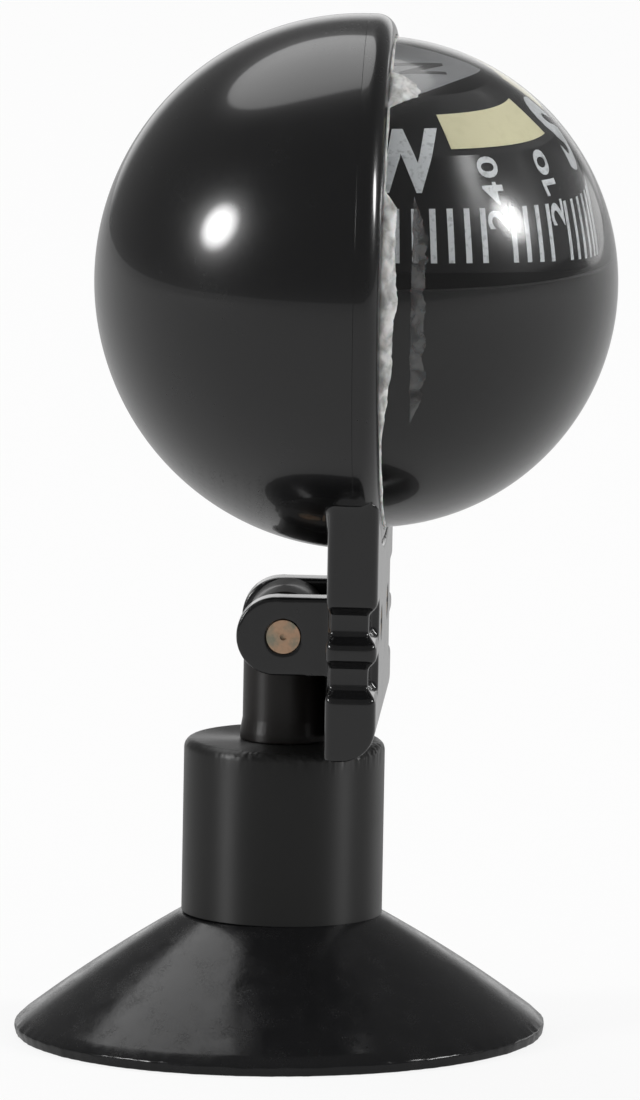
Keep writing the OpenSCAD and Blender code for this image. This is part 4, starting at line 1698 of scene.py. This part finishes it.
@dataclass
class Studio:
    """Floor, backdrop, lamps and camera. Lengths are in metres.

    Directions are from the object: right and up as the camera sees them, and towards it. A sweep is the
    share of the way towards the backdrop's middle where the room starts to turn to white, and ends to.
    """

    camera_from: Triple = (-0.9866, -0.0448, 0.1564)
    camera_right: Triple = (0.0454, -0.9990, 0.0)
    camera_up: Triple = (0.1562, 0.0071, 0.9877)
    aim_right: float = 0.00433
    aim_up: float = 0.0499
    distance: float = 3.0
    frame_h: float = 1100 / 9.64 * MM
    sensor_mm: float = 36.0
    clip_end: float = 100.0
    middle: Triple = (0.0, -0.008, 0.06)
    floor_half: float = 4.0
    floor_drop: float = 0.00005
    room_level: float = 0.15
    fill_level: float = 0.36
    mirror_sweep: Pair = (0.86, 0.97)
    lens_sweep: Pair = (0.0, 0.4)

    def aim(self, right: float, up: float, towards: float) -> Vector:
        """Turns a direction in the camera's terms into the row's frame.

        Args:
            right: its part to the camera's right.
            up: its part upwards.
            towards: its part towards the camera.

        Returns:
            The direction, with a length of 1.
        """
        axes = (Vector(self.camera_right), Vector(self.camera_up), Vector(self.camera_from))
        return (axes[0] * right + axes[1] * up + axes[2] * towards).normalized()

    def camera(self) -> None:
        """Adds the camera at the photograph's angle."""
        data = bpy.data.cameras.new("view")
        data.sensor_width = self.sensor_mm
        data.lens = self.sensor_mm * self.distance / self.frame_h
        data.clip_end = self.clip_end
        target = Vector(self.camera_right) * self.aim_right + Vector(self.camera_up) * self.aim_up
        camera = bpy.data.objects.new("view", data)
        camera.location = target + self.aim(0, 0, 1) * self.distance
        turn = Matrix((self.camera_right, self.camera_up, self.camera_from)).transposed()
        camera.rotation_euler = turn.to_euler()
        bpy.context.scene.collection.objects.link(camera)
        bpy.context.scene.camera = camera

    def light(self, lamp: Lamp) -> None:
        """Adds a lamp whose face fades at its rim.

        Args:
            lamp: the lamp.
        """
        data = bpy.data.lights.new(lamp.name, "AREA")
        data.shape = "ELLIPSE"
        data.size, data.size_y = lamp.size
        area = lamp.size[0] * lamp.size[1] * math.pi / 4
        data.energy = lamp.level * math.pi * area
        tree = empty_tree(data)
        on_face = add_node(tree, "ShaderNodeTexCoord").outputs["UV"]
        middle, rim = (0.5, 0.5, 0.0), 0.5
        out = add_node(tree, "ShaderNodeVectorMath", {0: on_face, 1: middle}, operation="DISTANCE")
        fade = add_node(tree, "ShaderNodeMapRange", {
            "Value": out.outputs["Value"], "From Min": rim - lamp.rim, "From Max": rim,
            "To Min": 1.0, "To Max": 0.0,
        }, interpolation_type="SMOOTHSTEP")
        face = add_node(tree, "ShaderNodeEmission", {"Strength": fade.outputs["Result"]})
        add_node(tree, "ShaderNodeOutputLight", {"Surface": face.outputs[0]})
        place = bpy.data.objects.new(lamp.name, data)
        place.location = Vector(self.middle) + self.aim(*lamp.direction) * lamp.distance
        back = self.aim(*(lamp.facing or lamp.direction))
        right = Vector(self.camera_right)
        across = (right - back * back.dot(right)).normalized()
        place.rotation_euler = Matrix((across, back.cross(across), back)).transposed().to_euler()
        bpy.context.scene.collection.objects.link(place)

    def floor(self) -> None:
        """Adds the pale floor."""
        build = bmesh.new()
        bmesh.ops.create_grid(build, x_segments=1, y_segments=1, size=self.floor_half / MM)
        floor = object_of("floor", build, Matrix.Translation((0, 0, -self.floor_drop)))
        floor.data.materials.append(FLOOR_PAPER.material())

    def backdrop(self) -> None:
        """Sets the world: white behind the object, a dim room in front of it, and a soft fill."""
        world = bpy.data.worlds.new("studio")
        bpy.context.scene.world = world
        tree = empty_tree(world)
        place = add_node(tree, "ShaderNodeTexCoord").outputs["Generated"]
        behind = tuple(self.aim(0, 0, -1))
        facing = add_node(tree, "ShaderNodeVectorMath", {0: place, 1: behind}, operation="DOT_PRODUCT")
        in_mirror, in_lens = (
            add_node(tree, "ShaderNodeMapRange", {
                "Value": facing.outputs["Value"], "From Min": start, "From Max": end,
                "To Min": self.room_level, "To Max": 1.0,
            }, interpolation_type="SMOOTHSTEP").outputs["Result"]
            for start, end in (self.mirror_sweep, self.lens_sweep)
        )
        ray = add_node(tree, "ShaderNodeLightPath").outputs
        level = self.fill_level
        views = (("Is Glossy Ray", in_mirror), ("Is Transmission Ray", in_lens), ("Is Camera Ray", 1.0))
        for kind, seen in views:
            level = add_node(tree, "ShaderNodeMix", {
                "Factor": ray[kind], "A": level, "B": seen,
            }, data_type="FLOAT").outputs["Result"]
        glow = add_node(tree, "ShaderNodeBackground", {"Color": WHITE, "Strength": level})
        add_node(tree, "ShaderNodeOutputWorld", {"Surface": glow.outputs[0]})

    def build(self) -> None:
        """Adds everything round the object."""
        bpy.context.scene.view_settings.view_transform = "Standard"
        self.camera()
        for lamp in LAMPS:
            self.light(lamp)
        self.floor()
        self.backdrop()


@dataclass
class Compass:
    """The whole compass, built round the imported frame."""

    frame: Mapping
    wardrobe: Wardrobe = field(default_factory=Wardrobe)
    base: Base = field(default_factory=Base)
    casing: Casing = field(default_factory=Casing)
    capsule: Capsule = field(default_factory=Capsule)
    card: Card = field(default_factory=Card)
    glue: Glue = field(default_factory=Glue)
    stem_voxel: float = 0.12
    stem_soft_rounds: int = 4

    def place(
        self, piece: bpy.types.Object, body: Body, finish: Finish, slot: str, replaces: Sequence[str] = ()
    ) -> None:
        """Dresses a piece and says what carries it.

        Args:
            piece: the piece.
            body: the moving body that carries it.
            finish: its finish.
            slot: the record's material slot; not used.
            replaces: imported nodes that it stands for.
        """
        self.wardrobe.dress(piece, finish)
        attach(piece, body.value)
        if replaces:
            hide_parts(*replaces)
        LOG.info("%s rides on %s", piece.name, body.value)

    def build(self) -> None:
        """Builds the pieces from the floor up."""
        places = Places.from_frame(self.frame, self.card.tip_rise, self.card.turn_deg)
        nodes = self.frame["nodes"]
        for finish, names in NODE_FINISHES.items():
            for name in names:
                self.wardrobe.dress(nodes[name], finish)
        self.place(self.base.cup(), Body.BASE, CUP_RUBBER, "cup_rubber", ["suction_cup"])
        self.place(self.base.collar(places.stand), Body.BASE, COLLAR_ABS, "collar_plastic", ["collar"])
        soft = softening(self.stem_voxel, self.stem_soft_rounds)
        stem = reworked("stem_moulding", [nodes["stem"]], soft)
        self.place(stem, Body.STEM, STEM_ABS, "stem_plastic", ["stem"])
        self.build_head(places.head, nodes)
        self.build_card(places.card)

    def build_head(self, head: Matrix, nodes: Mapping[str, bpy.types.Object]) -> None:
        """Builds the casing, the lens and the glue.

        Args:
            head: the head's frame.
            nodes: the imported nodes.
        """
        axis = self.casing.axis(head)
        rear, front = self.casing.tab(nodes["rear_shell"], nodes["front_bezel"], head)
        self.place(self.casing.shell(head), Body.HEAD, SHELL_ABS, "shell_plastic", ["rear_shell"])
        self.place(rear, Body.HEAD, SHELL_ABS, "shell_plastic", ["rear_shell"])
        self.place(self.casing.bezel(head), Body.HEAD, SHELL_ABS, "shell_plastic", ["front_bezel"])
        self.place(front, Body.HEAD, SHELL_ABS, "shell_plastic", ["front_bezel"])
        self.place(self.capsule.lens(axis), Body.HEAD, DOME_FILL, "dome_acrylic", ["clear_dome"])
        self.place(self.glue.bead(axis), Body.HEAD, SEAM_GLUE, "sealant", ["seam_sealant"])
        self.place(self.glue.film(axis), Body.HEAD, GLUE_FILM, "sealant")

    def build_card(self, place: Matrix) -> None:
        """Builds the card and its four colours of printing.

        Args:
            place: the card's frame.
        """
        card = self.card
        self.place(card.body(place), Body.CARD, CARD_LACQUER, "card_enamel", ["compass_card"])
        inks = (
            ("card_scale", card.ticks() + card.numbers() + card.letters(), WHITE_INK),
            ("card_blocks", card.blocks(), CREAM_PAINT),
            ("card_top", card.pale_top(), TOP_LACQUER),
            ("card_top_letters", card.top_letters(), BLACK_INK),
        )
        for name, faces, finish in inks:
            self.place(card.printing(name, faces, place), Body.CARD, finish, "card_enamel")


def main() -> None:
    """Builds the studio and the compass."""
    logging.basicConfig(level=logging.INFO, format="%(name)s: %(message)s")
    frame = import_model()
    Studio().build()
    Compass(frame).build()


if __name__ == "__main__":
    main()
